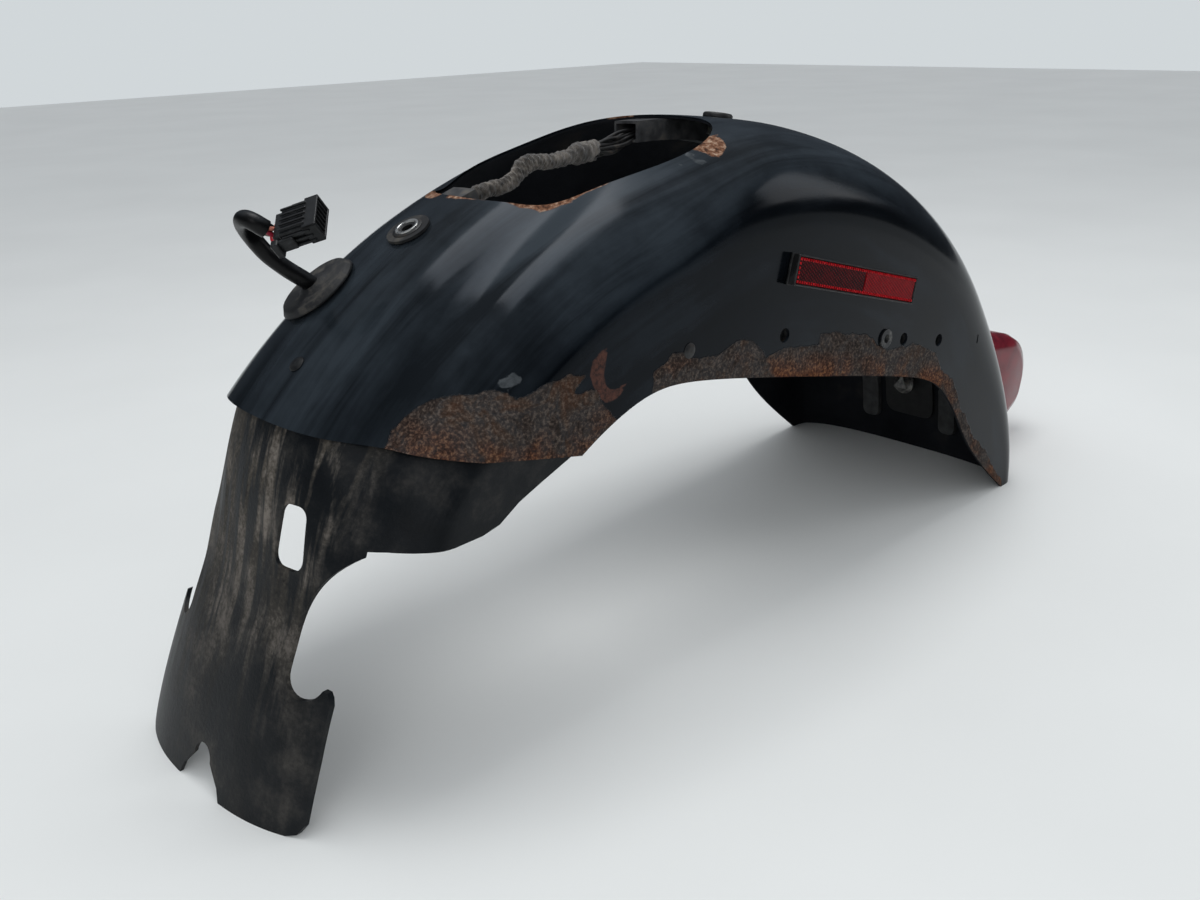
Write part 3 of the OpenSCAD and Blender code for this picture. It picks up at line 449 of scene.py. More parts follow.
def even_columns(a, count):
    """Values of c that stand at even distances across the section at one angle."""
    fine = np.linspace(-2, 2, 2001)
    y, r = section(np.full_like(fine, a), fine, 0)
    run = np.concatenate([[0], np.cumsum(np.hypot(np.diff(y), np.diff(r)))])
    return np.interp(np.linspace(0, run[-1], count), run, fine)


shell_rows, shell_columns = 236, 113
columns = even_columns(100.0, shell_columns)


def shell_side(inset):
    c = columns
    foot, lip = np.full_like(c, 27.0), np.full_like(c, 146.0)
    for _ in range(8):
        foot = 13 + np.degrees(np.arcsin(bench_drop / section(foot, c, inset)[1]))
        lip = 180 - np.degrees(np.arcsin(0.204 / section(lip, c, inset)[1]))
    share = np.linspace(0, 1, shell_rows)[:, None]
    a = foot + (lip - foot) * share
    y, r = section(a, np.broadcast_to(c, a.shape), inset)
    return on_bench(a, r, y)


def prism(outline, low, high, matrix):
    """A cutter with a drawn outline, from low to high along its own Z."""
    n = len(outline)
    points = [matrix @ Vector((x, y, z)) for z in (low, high) for x, y in outline]
    faces = [tuple(range(n - 1, -1, -1)), tuple(range(n, 2 * n))]
    faces += [(i, (i + 1) % n, n + (i + 1) % n, n + i) for i in range(n)]
    return points, faces


def round_outline(radius, count=40):
    return [(radius * math.cos(2 * math.pi * k / count), radius * math.sin(2 * math.pi * k / count))
            for k in range(count)]


def skin_frame(a, y=0.0):
    """A place on the skin: Z square to it, X along it to the rear."""
    def share_of(v):
        return math.copysign((math.degrees(math.asin((abs(v) / fender_half) ** 1.38)) / 90) ** (1 / 1.38),
                             v) if v else 0.0
    rise = float(skin_radius(a, share_of(y + 0.002)) - skin_radius(a, share_of(y - 0.002)))
    spot = on_bench(np.array(a, float), np.array(float(skin_radius(a, share_of(y)))), y)
    return Matrix.Translation(Vector(spot)) @ Matrix.Rotation(math.radians(90 - (a - 13)), 4, "Y") \
        @ Matrix.Rotation(math.atan(rise / 0.004), 4, "X")


wheel_frame = Matrix.Translation((axle, 0, -bench_drop)) @ Matrix.Rotation(rest_tilt, 4, "Y")


def across_frame(x, z):
    return wheel_frame @ Matrix.Translation((x, 0, z)) @ Matrix.Rotation(math.radians(90), 4, "X")


def along_frame(y, z):
    return wheel_frame @ Matrix.Translation((0, y, z)) @ Matrix.Rotation(math.radians(90), 4, "Y")


def cut_with(piece, cutters, operation="DIFFERENCE"):
    """Cuts a piece with closed cutters that don't meet, and gives back its plain mesh."""
    points, faces = [], []
    for some, ring_faces in cutters:
        faces += [tuple(i + len(points) for i in face) for face in ring_faces]
        points += [tuple(p) for p in some]
    knife = plain_object("knife", points, faces)
    step = piece.modifiers.new("cut", "BOOLEAN")
    step.operation, step.object, step.solver = operation, knife, "EXACT"
    view = bpy.context.evaluated_depsgraph_get()
    mesh = bpy.data.meshes.new_from_object(piece.evaluated_get(view))
    piece.modifiers.clear()
    piece.data = mesh
    bpy.data.objects.remove(knife)
    return piece


wide, half_length, half_width = 0.022, opening_length / 2, opening_width / 2
rear_bow = [(wide + (half_length - wide) * math.cos(math.radians(t)) ** (1 / 1.1),
             half_width * math.copysign(abs(math.sin(math.radians(t))) ** (1 / 1.1), t))
            for t in np.arange(-84, 85, 4.0)]
front_bow = [(wide - (half_length + wide) * max(0.0, math.cos(math.radians(t))) ** (8 / 7),
              half_width * math.copysign(abs(math.sin(math.radians(t))) ** (2 / 3), t))
             for t in np.arange(90, -91, -3.75)]
opening_line = rear_bow + front_bow
opening_middle = opening_angle + math.degrees(math.asin(half_length / 0.398))
opening_frame = skin_frame(opening_middle)
cutters = [prism(opening_line, -0.06, 0.06, opening_frame)]
# Radii of the round holes. The strut bolts' go through both walls, and two more face the lamp.
bolt_hole, rivet_hole, seat_nut_hole, grommet_hole = 0.0045, 0.0024, 0.0059, 0.0182
past_walls, past_skin = 0.13, 0.02
for strut_x in (-0.044, 0.069, 0.093, 0.141):
    cutters.append(prism(round_outline(bolt_hole), -past_walls, past_walls, across_frame(strut_x, 0.270)))
cutters.append(prism(round_outline(rivet_hole, 20), -past_walls, past_walls, across_frame(-0.129, 0.260)))
for seat_nut_angle in (129, 91.5):
    cutters.append(prism(round_outline(seat_nut_hole), -past_skin, past_skin, skin_frame(seat_nut_angle)))
cutters.append(prism(round_outline(grommet_hole), -past_skin, past_skin, skin_frame(136.6, 0.027)))
cutters.append(prism(round_outline(rivet_hole, 20), -past_skin, past_skin, skin_frame(143.2, -0.007)))
for lamp_bolt_z in (0.213, 0.246):
    cutters.append(prism(round_outline(bolt_hole), 0.2, 0.4, along_frame(0, lamp_bolt_z)))
# A narrow slit near the tail edge of each wall.
slit = [(-0.0009, -0.0032), (0.0009, -0.0032), (0.0009, 0.0032), (-0.0009, 0.0032)]
cutters.append(prism(slit, -0.13, 0.13, across_frame(0.1992, 0.2718)))
points, faces = sheet_between(shell_side(0), shell_side(sheet_thick))
shell = plain_object("painted_shell", points, faces)
cut_with(shell, cutters)

# Where the paint is gone, as outlines of (angle, radius, side distance) on the left wall.
patches = {"front": [(146.4, 362, -73), (146.1, 360.3, -73.3), (143.8, 362.2, -71.4), (142.2, 361.3, -74.8),
                     (140.5, 360.5, -80.3), (139.4, 357.6, -86.8), (138.8, 354.6, -91.8), (137.8, 350.5, -96),
                     (136.6, 345.8, -101.1), (136.4, 339.5, -105.9), (135.1, 337.5, -107.4), (133.2, 328.4, -108.8),
                     (131.0, 327.6, -109), (129.7, 321.2, -109), (130.8, 319.4, -109), (131.9, 318.1, -109),
                     (129.4, 309.1, -109), (129.5, 302.7, -109), (129.5, 297.7, -109), (128.7, 283.2, -109),
                     (128.7, 275.5, -109), (129.7, 268, -109), (130, 200, -109), (152, 200, -109), (152, 362, -73)],
           "rear": [(123.9, 272, -109), (122.1, 292.7, -109), (120.1, 292, -109), (118.8, 295.8, -109),
                    (117.3, 291.8, -109), (116.5, 285.5, -109), (114.3, 281.4, -109), (111.6, 278.1, -109),
                    (107.9, 280.2, -109), (105.5, 276.8, -109), (102.7, 263.4, -109), (100.7, 264.6, -109),
                    (97.9, 264.9, -109), (95.0, 264.8, -109), (91.6, 264.7, -109), (91.5, 271.1, -109),
                    (88.6, 272.6, -109), (82.8, 273.9, -109), (80.5, 277, -109), (77.2, 272.2, -109),
                    (74.3, 272.4, -109), (69.5, 282.7, -109), (68.3, 287.8, -109), (61.4, 296.8, -109),
                    (58.5, 290.9, -109), (54, 296.9, -109), (48.5, 292.7, -109), (40.7, 297.6, -109),
                    (35.1, 311.6, -109), (32.1, 316, -109), (27, 332, -109), (20, 345, -109), (16, 150, -109),
                    (124, 150, -109)], }
antler = [(126.4, 324.2), (127.4, 325.8), (128.6, 324.6), (129.4, 319.4), (129.6, 311.5), (129.5, 304.0),
          (129.1, 298.3), (128.2, 296.3), (127.4, 295.5), (126.5, 296.7), (125.8, 298.8), (126.2, 300.2),
          (126.8, 299.5), (127.8, 302.2), (128.3, 306.9), (128.0, 313.1), (127.2, 318.4)]
rim_chips = {"near": [(124.4, 6), (124.0, -12), (123.5, -23.5), (122.7, -35), (122.4, -41), (121.7, -45),
                      (121.8, -48), (120.6, -51.5), (119.4, -54), (118.9, -57.5), (118.3, -56), (117.2, -57.5),
                      (115.6, -60.5), (112, -62), (112, -50), (123, -15), (123.4, 6)],
             "tail": [(105.7, -66.7), (105.2, -71.2), (105.1, -77.9), (104.5, -79.7), (103.6, -77.1), (102.9, -75.6),
                      (102.1, -70), (102.3, -67.2), (101.5, -61.2), (103, -60), (106, -64)],
             "tip": [(124.4, 14), (124.6, 18), (124.5, 24), (123.8, 30), (123.2, 38), (122.3, 41), (121.5, 40),
                     (122.6, 20), (123.2, 12)], "far": [(101.9, 53), (100.6, 49), (99.2, 42), (98.3, 33), (98.4, 30),
                                                        (99.6, 30), (101, 40), (103, 50)], }
pale_chips = [[(106.7, -66.6), (107.0, -69), (106.6, -70), (106.9, -72.8), (106.1, -71), (106.2, -67.5)],
              [(106.8, -75.5), (106.7, -78.2), (105.9, -78.8), (106.1, -76.4)],
              [(108.3, -71), (108.5, -74), (108.0, -73.4), (107.9, -71.5)],
              [(136.6, -97.6), (135.6, -97.6), (134.8, -100.4), (134.8, -103), (135.3, -103.4), (135.9, -102),
               (136.5, -102.4)]]

angle_steps, share_steps = np.linspace(8, 160, 77), np.linspace(0, 1, 81)
table = np.zeros((len(angle_steps), len(share_steps)))
for i, a in enumerate(angle_steps):
    y, r = across_at(share_steps), skin_radius(a, share_steps)
    table[i, 1:] = np.cumsum(np.hypot(np.diff(y), np.diff(r)))


def unrolled(a, r, y):
    """Places on the skin laid flat: the way round the wheel and the way out from the crown, in mm."""
    share = (np.degrees(np.arcsin(np.clip(np.abs(y) / fender_half, 0, 1) ** 1.38)) / 90) ** (1 / 1.38)
    ia = np.clip((a - 8) / 2, 0, len(angle_steps) - 1.001)
    js = np.clip(share * 80, 0, 79.999)
    i, j, u, v = ia.astype(int), js.astype(int), ia % 1, js % 1
    out = (table[i, j] * (1 - u) + table[i + 1, j] * u) * (1 - v) + (table[i, j + 1] * (1 - u) + table[i + 1, j + 1]
                                                                     * u) * v
    down = np.where(np.abs(y) > 0.1045, np.maximum(0, skin_radius(a, np.ones_like(a)) - r), 0)
    edge = table[i, -1] * (1 - u) + table[i + 1, -1] * u
    out = np.where(down > 0, edge + down, out)
    return np.radians(a) * 340, np.sign(y) * out * 1000


def inside_by(u, v, outline):
    """How far each place is inside an outline, in mm; outside it is less than 0."""
    best, inside = np.full(u.shape, 1e9), np.zeros(u.shape, bool)
    for (x1, y1), (x2, y2) in zip(outline, outline[1:] + outline[:1]):
        dx, dy = x2 - x1, y2 - y1
        t = np.clip(((u - x1) * dx + (v - y1) * dy) / (dx * dx + dy * dy), 0, 1)
        best = np.minimum(best, np.hypot(u - x1 - t * dx, v - y1 - t * dy))
        crosses = (y1 > v) != (y2 > v)
        inside ^= crosses & (u < (x2 - x1) * (v - y1) / (y2 - y1 + 1e-12) + x1)
    return np.where(inside, best, -best)


def flat_outline(outline):
    a, r, y = (np.array(c, float) for c in zip(*outline))
    u, v = unrolled(a, r / 1000, y / 1000)
    return list(zip(u, v))


def on_top(outline):
    """An outline of (angle, side distance) on the crown."""
    a, y = (np.array(c, float) for c in zip(*outline))
    u, v = unrolled(a, np.full(a.shape, 0.39), np.clip(y / 1000, -0.104, 0.104))
    return list(zip(u, v))


spots = np.empty(len(shell.data.vertices) * 3)
shell.data.vertices.foreach_get("co", spots)
spots = spots.reshape(-1, 3)
x, z = spots[:, 0] - axle, spots[:, 2] + bench_drop
angle = np.degrees(np.arctan2(z, x)) + 13
radius = np.hypot(x, z)
u, v = unrolled(angle, radius, spots[:, 1])
rust = np.full(u.shape, -60.0)
for outline in patches.values():
    rust = np.maximum(rust, inside_by(u, v, flat_outline(outline)))
# The hidden right wall is rusted along its edges in the same way, but less.
right_patch = [(150, 150, 109), (150, 352, 90), (144, 345, 100), (139, 318, 109), (133, 292, 109), (127, 276, 109),
               (118, 283, 109), (108, 270, 109), (96, 256, 109), (84, 259, 109), (72, 268, 109), (62, 285, 109),
               (50, 288, 109), (38, 312, 109), (24, 345, 109), (20, 150, 109)]
rust = np.maximum(rust, inside_by(u, v, flat_outline(right_patch)) - 2)
stain = inside_by(u, v, flat_outline([(a, r, -109) for a, r in antler]))
rim = np.full(u.shape, -60.0)
for outline in rim_chips.values():
    rim = np.maximum(rim, inside_by(u, v, on_top(outline)))
pale = np.full(u.shape, -60.0)
for outline in pale_chips:
    pale = np.maximum(pale, inside_by(u, v, on_top(outline)))
low = (radius - skirt_radius(np.clip(angle, 15, 160))) * 1000
lip = (z * math.cos(rest_tilt) + x * math.sin(rest_tilt)) * 1000 - 204
edge = np.where(angle > 130, np.minimum(low, lip), low)
normals = np.empty(len(shell.data.vertices) * 3)
shell.data.vertices.foreach_get("normal", normals)
normals = normals.reshape(-1, 3)
on_wall = np.clip((np.abs(spots[:, 1]) - 0.09) / 0.015, 0, 1)
outward = normals[:, 0] * x / radius + normals[:, 2] * z / radius + normals[:, 1] * np.sign(spots[:, 1]) * on_wall
for name, values in (("rust_mm", rust), ("stain_mm", stain), ("rim_mm", rim), ("pale_mm", pale), ("edge_mm", edge),
                     ("round_mm", u), ("out_mm", v), ("outside", np.clip(outward, -1, 1))):
    shell.data.attributes.new(name, "FLOAT", "POINT").data.foreach_set("value", values.astype(np.float32))

# Stoved enamel over steel: near black and glossy, dulled by wiping marks and dust. Where it is
# gone the steel is scaly brown and grey, orange along the edge, and salmon at the opening's rim.
paint, tree, shader = finish_of("stoved_enamel", Specular_IOR_Level=0.14, Specular_Tint=linear("#c4cfde"), IOR=1.5)


place = add(tree, "ShaderNodeTexCoord").outputs["Object"]
rust_in, stain_in, rim_in, pale_in, edge_in, round_in, out_in, outside_in = (
    add(tree, "ShaderNodeAttribute", attribute_name=name).outputs["Fac"]
    for name in ("rust_mm", "stain_mm", "rim_mm", "pale_mm", "edge_mm", "round_mm", "out_mm", "outside"))
# Wiping marks run round the wheel, so the pattern is ten times longer that way than across.
long_way = add(tree, "ShaderNodeMath", {0: round_in, 1: 0.0035}, operation="MULTIPLY")
short_way = add(tree, "ShaderNodeMath", {0: out_in, 1: 0.035}, operation="MULTIPLY")
along = add(tree, "ShaderNodeCombineXYZ", {0: long_way, 1: short_way})
wipes = add(tree, "ShaderNodeTexNoise", {"Vector": along, "Scale": 1.6, "Detail": 7.0, "Roughness": 0.62,
                                         "Distortion": 0.7})
cloud = add(tree, "ShaderNodeTexNoise", {"Vector": place, "Scale": 11.0, "Detail": 7.0, "Roughness": 0.6})
wiped = add(tree, "ShaderNodeMath", {0: wipes, 1: cloud}, operation="MULTIPLY")
haze = add(tree, "ShaderNodeMapRange", {"Value": wiped, "From Min": 0.17, "From Max": 0.36})
fine = add(tree, "ShaderNodeTexNoise", {"Vector": place, "Scale": 900.0, "Detail": 4.0})
ragged = add(tree, "ShaderNodeTexNoise", {"Vector": place, "Scale": 95.0, "Detail": 6.0, "Roughness": 0.62})
wander = add(tree, "ShaderNodeMath", {0: ragged, 1: 7.0, 2: -3.5}, operation="MULTIPLY_ADD").outputs[0]
shape = {}
for name, distance, sway in (("rust", rust_in, 1.0), ("stain", stain_in, 0.3), ("rim", rim_in, 0.45),
                             ("pale", pale_in, 0.8)):
    moved = add(tree, "ShaderNodeMath", {0: wander, 1: sway, 2: distance}, operation="MULTIPLY_ADD").outputs[0]
    shape[name] = add(tree, "ShaderNodeMapRange", {"Value": moved, "From Min": -0.25, "From Max": 0.45}).outputs[0]
facing = add(tree, "ShaderNodeSeparateXYZ", {0: add(tree, "ShaderNodeNewGeometry").outputs["Normal"]}).outputs["Z"]
level = add(tree, "ShaderNodeMapRange", {"Value": facing, "From Min": 0.25, "From Max": 0.85})
dusty = add(tree, "ShaderNodeMath", {0: haze, 1: 0.8, 2: 0.2}, operation="MULTIPLY_ADD")
settled = add(tree, "ShaderNodeMath", {0: level, 1: dusty}, operation="MULTIPLY")
dust_share = add(tree, "ShaderNodeMath", {0: settled, 1: 0.75}, operation="MULTIPLY")
clean_coat = add(tree, "ShaderNodeValToRGB", {0: haze}, ramp=[(0.0, "#040608"), (0.5, "#070a0e"), (1.0, "#12171c")])
coat_colour = add(tree, "ShaderNodeMixRGB", {0: dust_share, 1: clean_coat, 2: linear("#32393f")})
# Scale on the bare steel: grains of 1 to 2 mm in patches of grey, brown and dark crust.
crust = add(tree, "ShaderNodeTexNoise", {"Vector": place, "Scale": 42.0, "Detail": 8.0, "Roughness": 0.66,
                                         "Distortion": 0.6})
grains = add(tree, "ShaderNodeTexNoise", {"Vector": place, "Scale": 620.0, "Detail": 6.0, "Roughness": 0.66})
crust_colour = add(tree, "ShaderNodeValToRGB", {0: crust},
                   ramp=[(0.3, "#151211"), (0.42, "#2c2420"), (0.5, "#3a3a3b"), (0.58, "#42342b"), (0.7, "#54341f")])
grain_colour = add(tree, "ShaderNodeValToRGB", {0: grains}, ramp=[(0.36, "#0f0c0b"), (0.5, "#322a25"),
                                                                  (0.66, "#695d54")])
scaly = add(tree, "ShaderNodeMixRGB", {0: 0.55, 1: crust_colour, 2: grain_colour})
near_edge = add(tree, "ShaderNodeMapRange", {"Value": edge_in, "From Min": 17.0, "From Max": 0.5}).outputs[0]
wet = add(tree, "ShaderNodeTexNoise", {"Vector": place, "Scale": 24.0, "Detail": 6.0, "Distortion": 0.8})
damp = add(tree, "ShaderNodeMapRange", {"Value": wet, "From Min": 0.47, "From Max": 0.63})
glow = add(tree, "ShaderNodeMath", {0: near_edge, 1: damp}, operation="MULTIPLY")
orange_share = add(tree, "ShaderNodeMath", {0: glow, 1: 0.85}, operation="MULTIPLY")
orange = add(tree, "ShaderNodeValToRGB", {0: grains}, ramp=[(0.36, "#1f110b"), (0.52, "#57301b"), (0.68, "#96643a")])
bare = add(tree, "ShaderNodeMixRGB", {0: orange_share, 1: scaly, 2: orange})
mottle = add(tree, "ShaderNodeTexNoise", {"Vector": place, "Scale": 330.0, "Detail": 6.0, "Roughness": 0.7})
salmon = add(tree, "ShaderNodeValToRGB", {0: mottle}, ramp=[(0.36, "#33231b"), (0.5, "#6f4b36"), (0.66, "#a28b78")])
flake = add(tree, "ShaderNodeValToRGB", {0: crust}, ramp=[(0.4, "#24282b"), (0.6, "#55595c")])
thin_rust = add(tree, "ShaderNodeValToRGB", {0: mottle}, ramp=[(0.36, "#221815"), (0.6, "#523329")])
mixed = coat_colour
for name, colour, amount in (("stain", thin_rust, 0.92), ("rust", bare, 1.0), ("pale", flake, 0.75),
                             ("rim", salmon, 1.0)):
    cover = add(tree, "ShaderNodeMath", {0: shape[name], 1: amount}, operation="MULTIPLY")
    mixed = add(tree, "ShaderNodeMixRGB", {0: cover, 1: mixed, 2: colour})
# The underside never had gloss: thin primer with road dust.
outside = add(tree, "ShaderNodeMapRange", {"Value": outside_in, "From Min": -0.3, "From Max": 0.2})
under = add(tree, "ShaderNodeValToRGB", {0: cloud}, ramp=[(0.35, "#0c0d10"), (0.62, "#1b1c1f"), (0.8, "#35322e")])
mixed = add(tree, "ShaderNodeMixRGB", {0: outside, 1: under, 2: mixed})
tree.links.new(mixed.outputs[0], shader.inputs["Base Color"])
stripped = add(tree, "ShaderNodeMath", {0: shape["rust"], 1: shape["rim"]}, operation="MAXIMUM")
underside = add(tree, "ShaderNodeMath", {0: 1.0, 1: outside}, operation="SUBTRACT")
bare_share = add(tree, "ShaderNodeMath", {0: stripped, 1: underside}, operation="MAXIMUM")
gloss = add(tree, "ShaderNodeMapRange", {"Value": haze, "To Min": 0.1, "To Max": 0.22})
rough = add(tree, "ShaderNodeMixRGB", {0: bare_share, 1: gloss, 2: (0.82, 0.82, 0.82, 1)})
tree.links.new(rough.outputs[0], shader.inputs["Roughness"])
# Relief: grains on the bare steel, which lies lower than the paint, whose torn edge curls up.
grain_height = add(tree, "ShaderNodeMath", {0: grains, 1: 0.6}, operation="MULTIPLY")
scale_height = add(tree, "ShaderNodeMath", {0: bare_share, 1: grain_height}, operation="MULTIPLY")
paint_lost = add(tree, "ShaderNodeMath", {0: bare_share, 1: -0.3}, operation="MULTIPLY")
relief = add(tree, "ShaderNodeMath", {0: scale_height, 1: paint_lost}, operation="ADD")
rust_depth = add(tree, "ShaderNodeMath", {0: wander, 1: 1.0, 2: rust_in}, operation="MULTIPLY_ADD")
tear = add(tree, "ShaderNodeMath", {0: rust_depth, 1: 0.2, 2: 0.5}, operation="MULTIPLY_ADD")
torn = add(tree, "ShaderNodeValToRGB", {0: tear}, ramp=[(0.42, 0.0), (0.5, 1.0), (0.62, 0.15), (0.9, 0.0)])
relief = add(tree, "ShaderNodeMath", {0: torn, 1: 0.5, 2: relief}, operation="MULTIPLY_ADD")
relief = add(tree, "ShaderNodeMath", {0: fine, 1: 0.012, 2: relief}, operation="MULTIPLY_ADD")
bump = add(tree, "ShaderNodeBump", {"Strength": 0.8, "Distance": 0.0011, "Height": relief})
tree.links.new(bump.outputs[0], shader.inputs["Normal"])
shell.data.materials.clear()
shell.data.materials.append(paint)
shell.data.shade_smooth()
shell.data.set_sharp_from_angle(angle=math.radians(38))
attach(shell, "root")
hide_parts("fender_shell")

# ---- Mudguard -------------------------------------------------------------------------------
# A moulded flap riveted inside the front of the shell. It steps in below the lip, narrows to a
# neck and ends in two lobes with a hook each side. Satin black, streaked with dried mud, with a
# painted highlight in a band down the middle of its face.

guard_inset, hook_half = 0.003, 0.080
slot_width, slot_length, slot_out, slot_up = 0.018, 0.032, -0.0395, 0.1425


def guard_side_points(inset, rows=110, count=125):
    c = even_columns(140.0, count)
    top = 141.5 - 30 * smooth_step((np.abs(c) - 0.6) / 0.4)
    a = top + (186 - top) * np.linspace(0, 1, rows)[:, None]
    c = np.broadcast_to(c, a.shape)
    f, q = np.clip(c, -1, 1), np.maximum(0, np.abs(c) - 1)
    out = across_at(f) / hook_half
    pushed_in = 4 * np.where(f > 0, np.minimum(out * out, 1), 0)
    step = 0.033 * np.sin(np.radians(90 * np.clip((a - 146.5 + pushed_in) / 17, 0, 1) ** 1.3)) \
        - 0.006 * (np.maximum(0, a - 165) / 15) ** 2
    flat = 0.0095 * out * out * smooth_step((a - 148) / 12)
    warp = 0.005 * out * smooth_step((a - 162) / 20)
    r = (skin_radius(a, f) - inset - step + flat + warp) * (1 - q) + 0.262 * q
    return on_bench(a, r, across_at(f) * (fender_half - inset) / fender_half)


def arc(cx, cy, radius, begin, finish, count):
    return [(cx + radius * math.cos(math.radians(t)), cy + radius * math.sin(math.radians(t)))
            for t in np.linspace(begin, finish, count)]


half = [(0, 24.5)] + arc(0, 16.5, 8, 78, 0, 7) + [(17, 7), (20, 0), (68, 0), (74, 2), (77, 7), (79, 40), (80, 68),
                                                  (79, 72), (77.4, 74.6)]
half += arc(64.5, 80, 11.5, -24, -180, 15) + arc(106, 93, 53, 180, 112.2, 16) + [(86, 133), (140, 133), (140, 300)]
outline = [(y / 1000, z / 1000) for y, z in half] + [(-y / 1000, z / 1000) for y, z in half[::-1] if y > 0]
front_view = Matrix.Translation((axle, 0, 0)) @ Matrix(((0, 0, 1, 0), (1, 0, 0, 0), (0, 1, 0, 0), (0, 0, 0, 1)))
side_view = Matrix.Translation((axle, 0, 0)) @ Matrix(((1, 0, 0, 0), (0, 0, -1, 0), (0, 1, 0, 0), (0, 0, 0, 1)))
side_line = [(-45, 330), (-45, 206), (-120, 186), (-153, 166.5), (-174, 158.5), (-190, 152), (-203, 144),
             (-214, 141.5), (-231, 141), (-249, 141.8), (-258, 142.4), (-264, 142.2), (-268, 134), (-272, 118),
             (-280, 60), (-284, 0), (-420, 0), (-420, 330)]
side_line = [(x / 1000, z / 1000) for x, z in side_line]
corners = [(-slot_width / 2 + 0.0049, 0.0065 - slot_length / 2, 180), (slot_width / 2 - 0.0049,
                                                                       0.0065 - slot_length / 2, 270),
           (slot_width / 2 - 0.0065, slot_length / 2 - 0.0065, 0), (0.0065 - slot_width / 2, slot_length / 2 - 0.0065,
                                                                    90)]
slot_line = []
for cx, cz, begin in corners:
    slot_line += arc(slot_out + cx, slot_up + cz, 0.0065, begin, begin + 90, 8)
points, faces = sheet_between(guard_side_points(guard_inset), guard_side_points(guard_inset + sheet_thick))
guard = plain_object("mudguard_flap", points, faces)
cut_with(guard, [prism(outline, -0.42, 0.0, front_view)], "INTERSECT")
cut_with(guard, [prism(side_line, -0.15, 0.15, side_view)], "INTERSECT")
cut_with(guard, [prism(slot_line, -0.42, -0.2, front_view),
                 prism(round_outline(rivet_hole, 20), -past_skin, past_skin, skin_frame(143.2, -0.007)),
                 prism(round_outline(rivet_hole, 20), -past_walls, past_walls, across_frame(-0.129, 0.260))])

# Moulded polyethylene, satin black: greyed and chalky, with vertical brown streaks of dried mud
# that fade towards the foot, and fine pitting from stones. The pale brown is also gathered into a
# band down the middle of the face as a painted highlight where the flap is lit.
flap_finish, tree, shader = finish_of("moulded_polyethylene", Specular_IOR_Level=0.18, IOR=1.5)
coords = add(tree, "ShaderNodeTexCoord").outputs["Object"]
split = add(tree, "ShaderNodeSeparateXYZ", {0: coords})
stretched = add(tree, "ShaderNodeMapping", {0: coords, "Scale": (40.0, 120.0, 8.0)}).outputs[0]
streak = add(tree, "ShaderNodeTexNoise", {"Vector": stretched, "Scale": 1.0, "Detail": 6.0, "Roughness": 0.6,
                                          "Distortion": 0.35})
blotch = add(tree, "ShaderNodeTexNoise", {"Vector": coords, "Scale": 24.0, "Detail": 7.0, "Roughness": 0.62})
pits = add(tree, "ShaderNodeTexNoise", {"Vector": coords, "Scale": 420.0, "Detail": 5.0, "Roughness": 0.7})
higher = add(tree, "ShaderNodeMapRange", {"Value": split.outputs["Z"], "From Min": 0.035, "From Max": 0.15,
                                          "To Min": 0.12, "To Max": 1.0}).outputs[0]
# The mask below gathers the pale brown into a band down the middle of the face. That band is a painted highlight of the
# lit middle, laid over the real mud streaks.
to_left = add(tree, "ShaderNodeMath", {0: split.outputs["Y"], 1: -1.0}, operation="MULTIPLY")
to_right = add(tree, "ShaderNodeMath", {0: split.outputs["Y"], 1: 0.8}, operation="MULTIPLY")
off_middle = add(tree, "ShaderNodeMath", {0: to_left, 1: to_right}, operation="MAXIMUM")
painted_lit_band = add(tree, "ShaderNodeMapRange", {"Value": off_middle, "From Min": 0.078, "From Max": 0.052, "To Min": 0.02,
                                        "To Max": 1.0})
streaked = add(tree, "ShaderNodeMapRange", {"Value": streak, "From Min": 0.42, "From Max": 0.56})
reach_and_lit_band = add(tree, "ShaderNodeMath", {0: higher, 1: painted_lit_band}, operation="MULTIPLY")
mud_and_lit_band = add(tree, "ShaderNodeMath", {0: streaked, 1: reach_and_lit_band}, operation="MULTIPLY")
patchy = add(tree, "ShaderNodeMath", {0: blotch, 1: 0.5}, operation="SUBTRACT")
mud_and_lit_band = add(tree, "ShaderNodeMath", {0: patchy, 1: 0.9, 2: mud_and_lit_band}, operation="MULTIPLY_ADD")
base = add(tree, "ShaderNodeValToRGB", {0: blotch}, ramp=[(0.3, "#070a0d"), (0.55, "#0e1216"), (0.75, "#1c1d1d")])
broad_clods = add(tree, "ShaderNodeMath", {0: blotch, 1: 0.6}, operation="MULTIPLY")
clods = add(tree, "ShaderNodeMath", {0: pits, 1: 0.4, 2: broad_clods}, operation="MULTIPLY_ADD")
# Pale brown of the mud, which also paints the highlight of the lit middle band.
mud_and_lit_colour = add(tree, "ShaderNodeValToRGB", {0: clods}, ramp=[(0.38, "#2a2724"), (0.5, "#4b463f"), (0.62, "#78716a")])
mud_and_lit_share = add(tree, "ShaderNodeMapRange", {"Value": mud_and_lit_band, "To Max": 0.85})
mixed = add(tree, "ShaderNodeMixRGB", {0: mud_and_lit_share, 1: base, 2: mud_and_lit_colour})
tree.links.new(mixed.outputs[0], shader.inputs["Base Color"])
rough = add(tree, "ShaderNodeMapRange", {"Value": mud_and_lit_band, "To Min": 0.42, "To Max": 0.8}).outputs[0]
tree.links.new(rough, shader.inputs["Roughness"])
pitting = add(tree, "ShaderNodeMath", {0: pits, 1: blotch}, operation="ADD")
bump = add(tree, "ShaderNodeBump", {"Strength": 0.4, "Distance": 0.0005, "Height": pitting})
tree.links.new(bump.outputs[0], shader.inputs["Normal"])
guard.data.materials.clear()
guard.data.materials.append(flap_finish)
guard.data.shade_smooth()
guard.data.set_sharp_from_angle(angle=math.radians(38))
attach(guard, "root")
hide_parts("front_mudguard")

# ---- Small steel parts ----------------------------------------------------------------------
# Rivets, plates, weld nuts, bushings and washers keep their turned and stamped CAD shapes. A
# merged copy of each is shaded smooth, because the frame's own meshes are loose triangles.


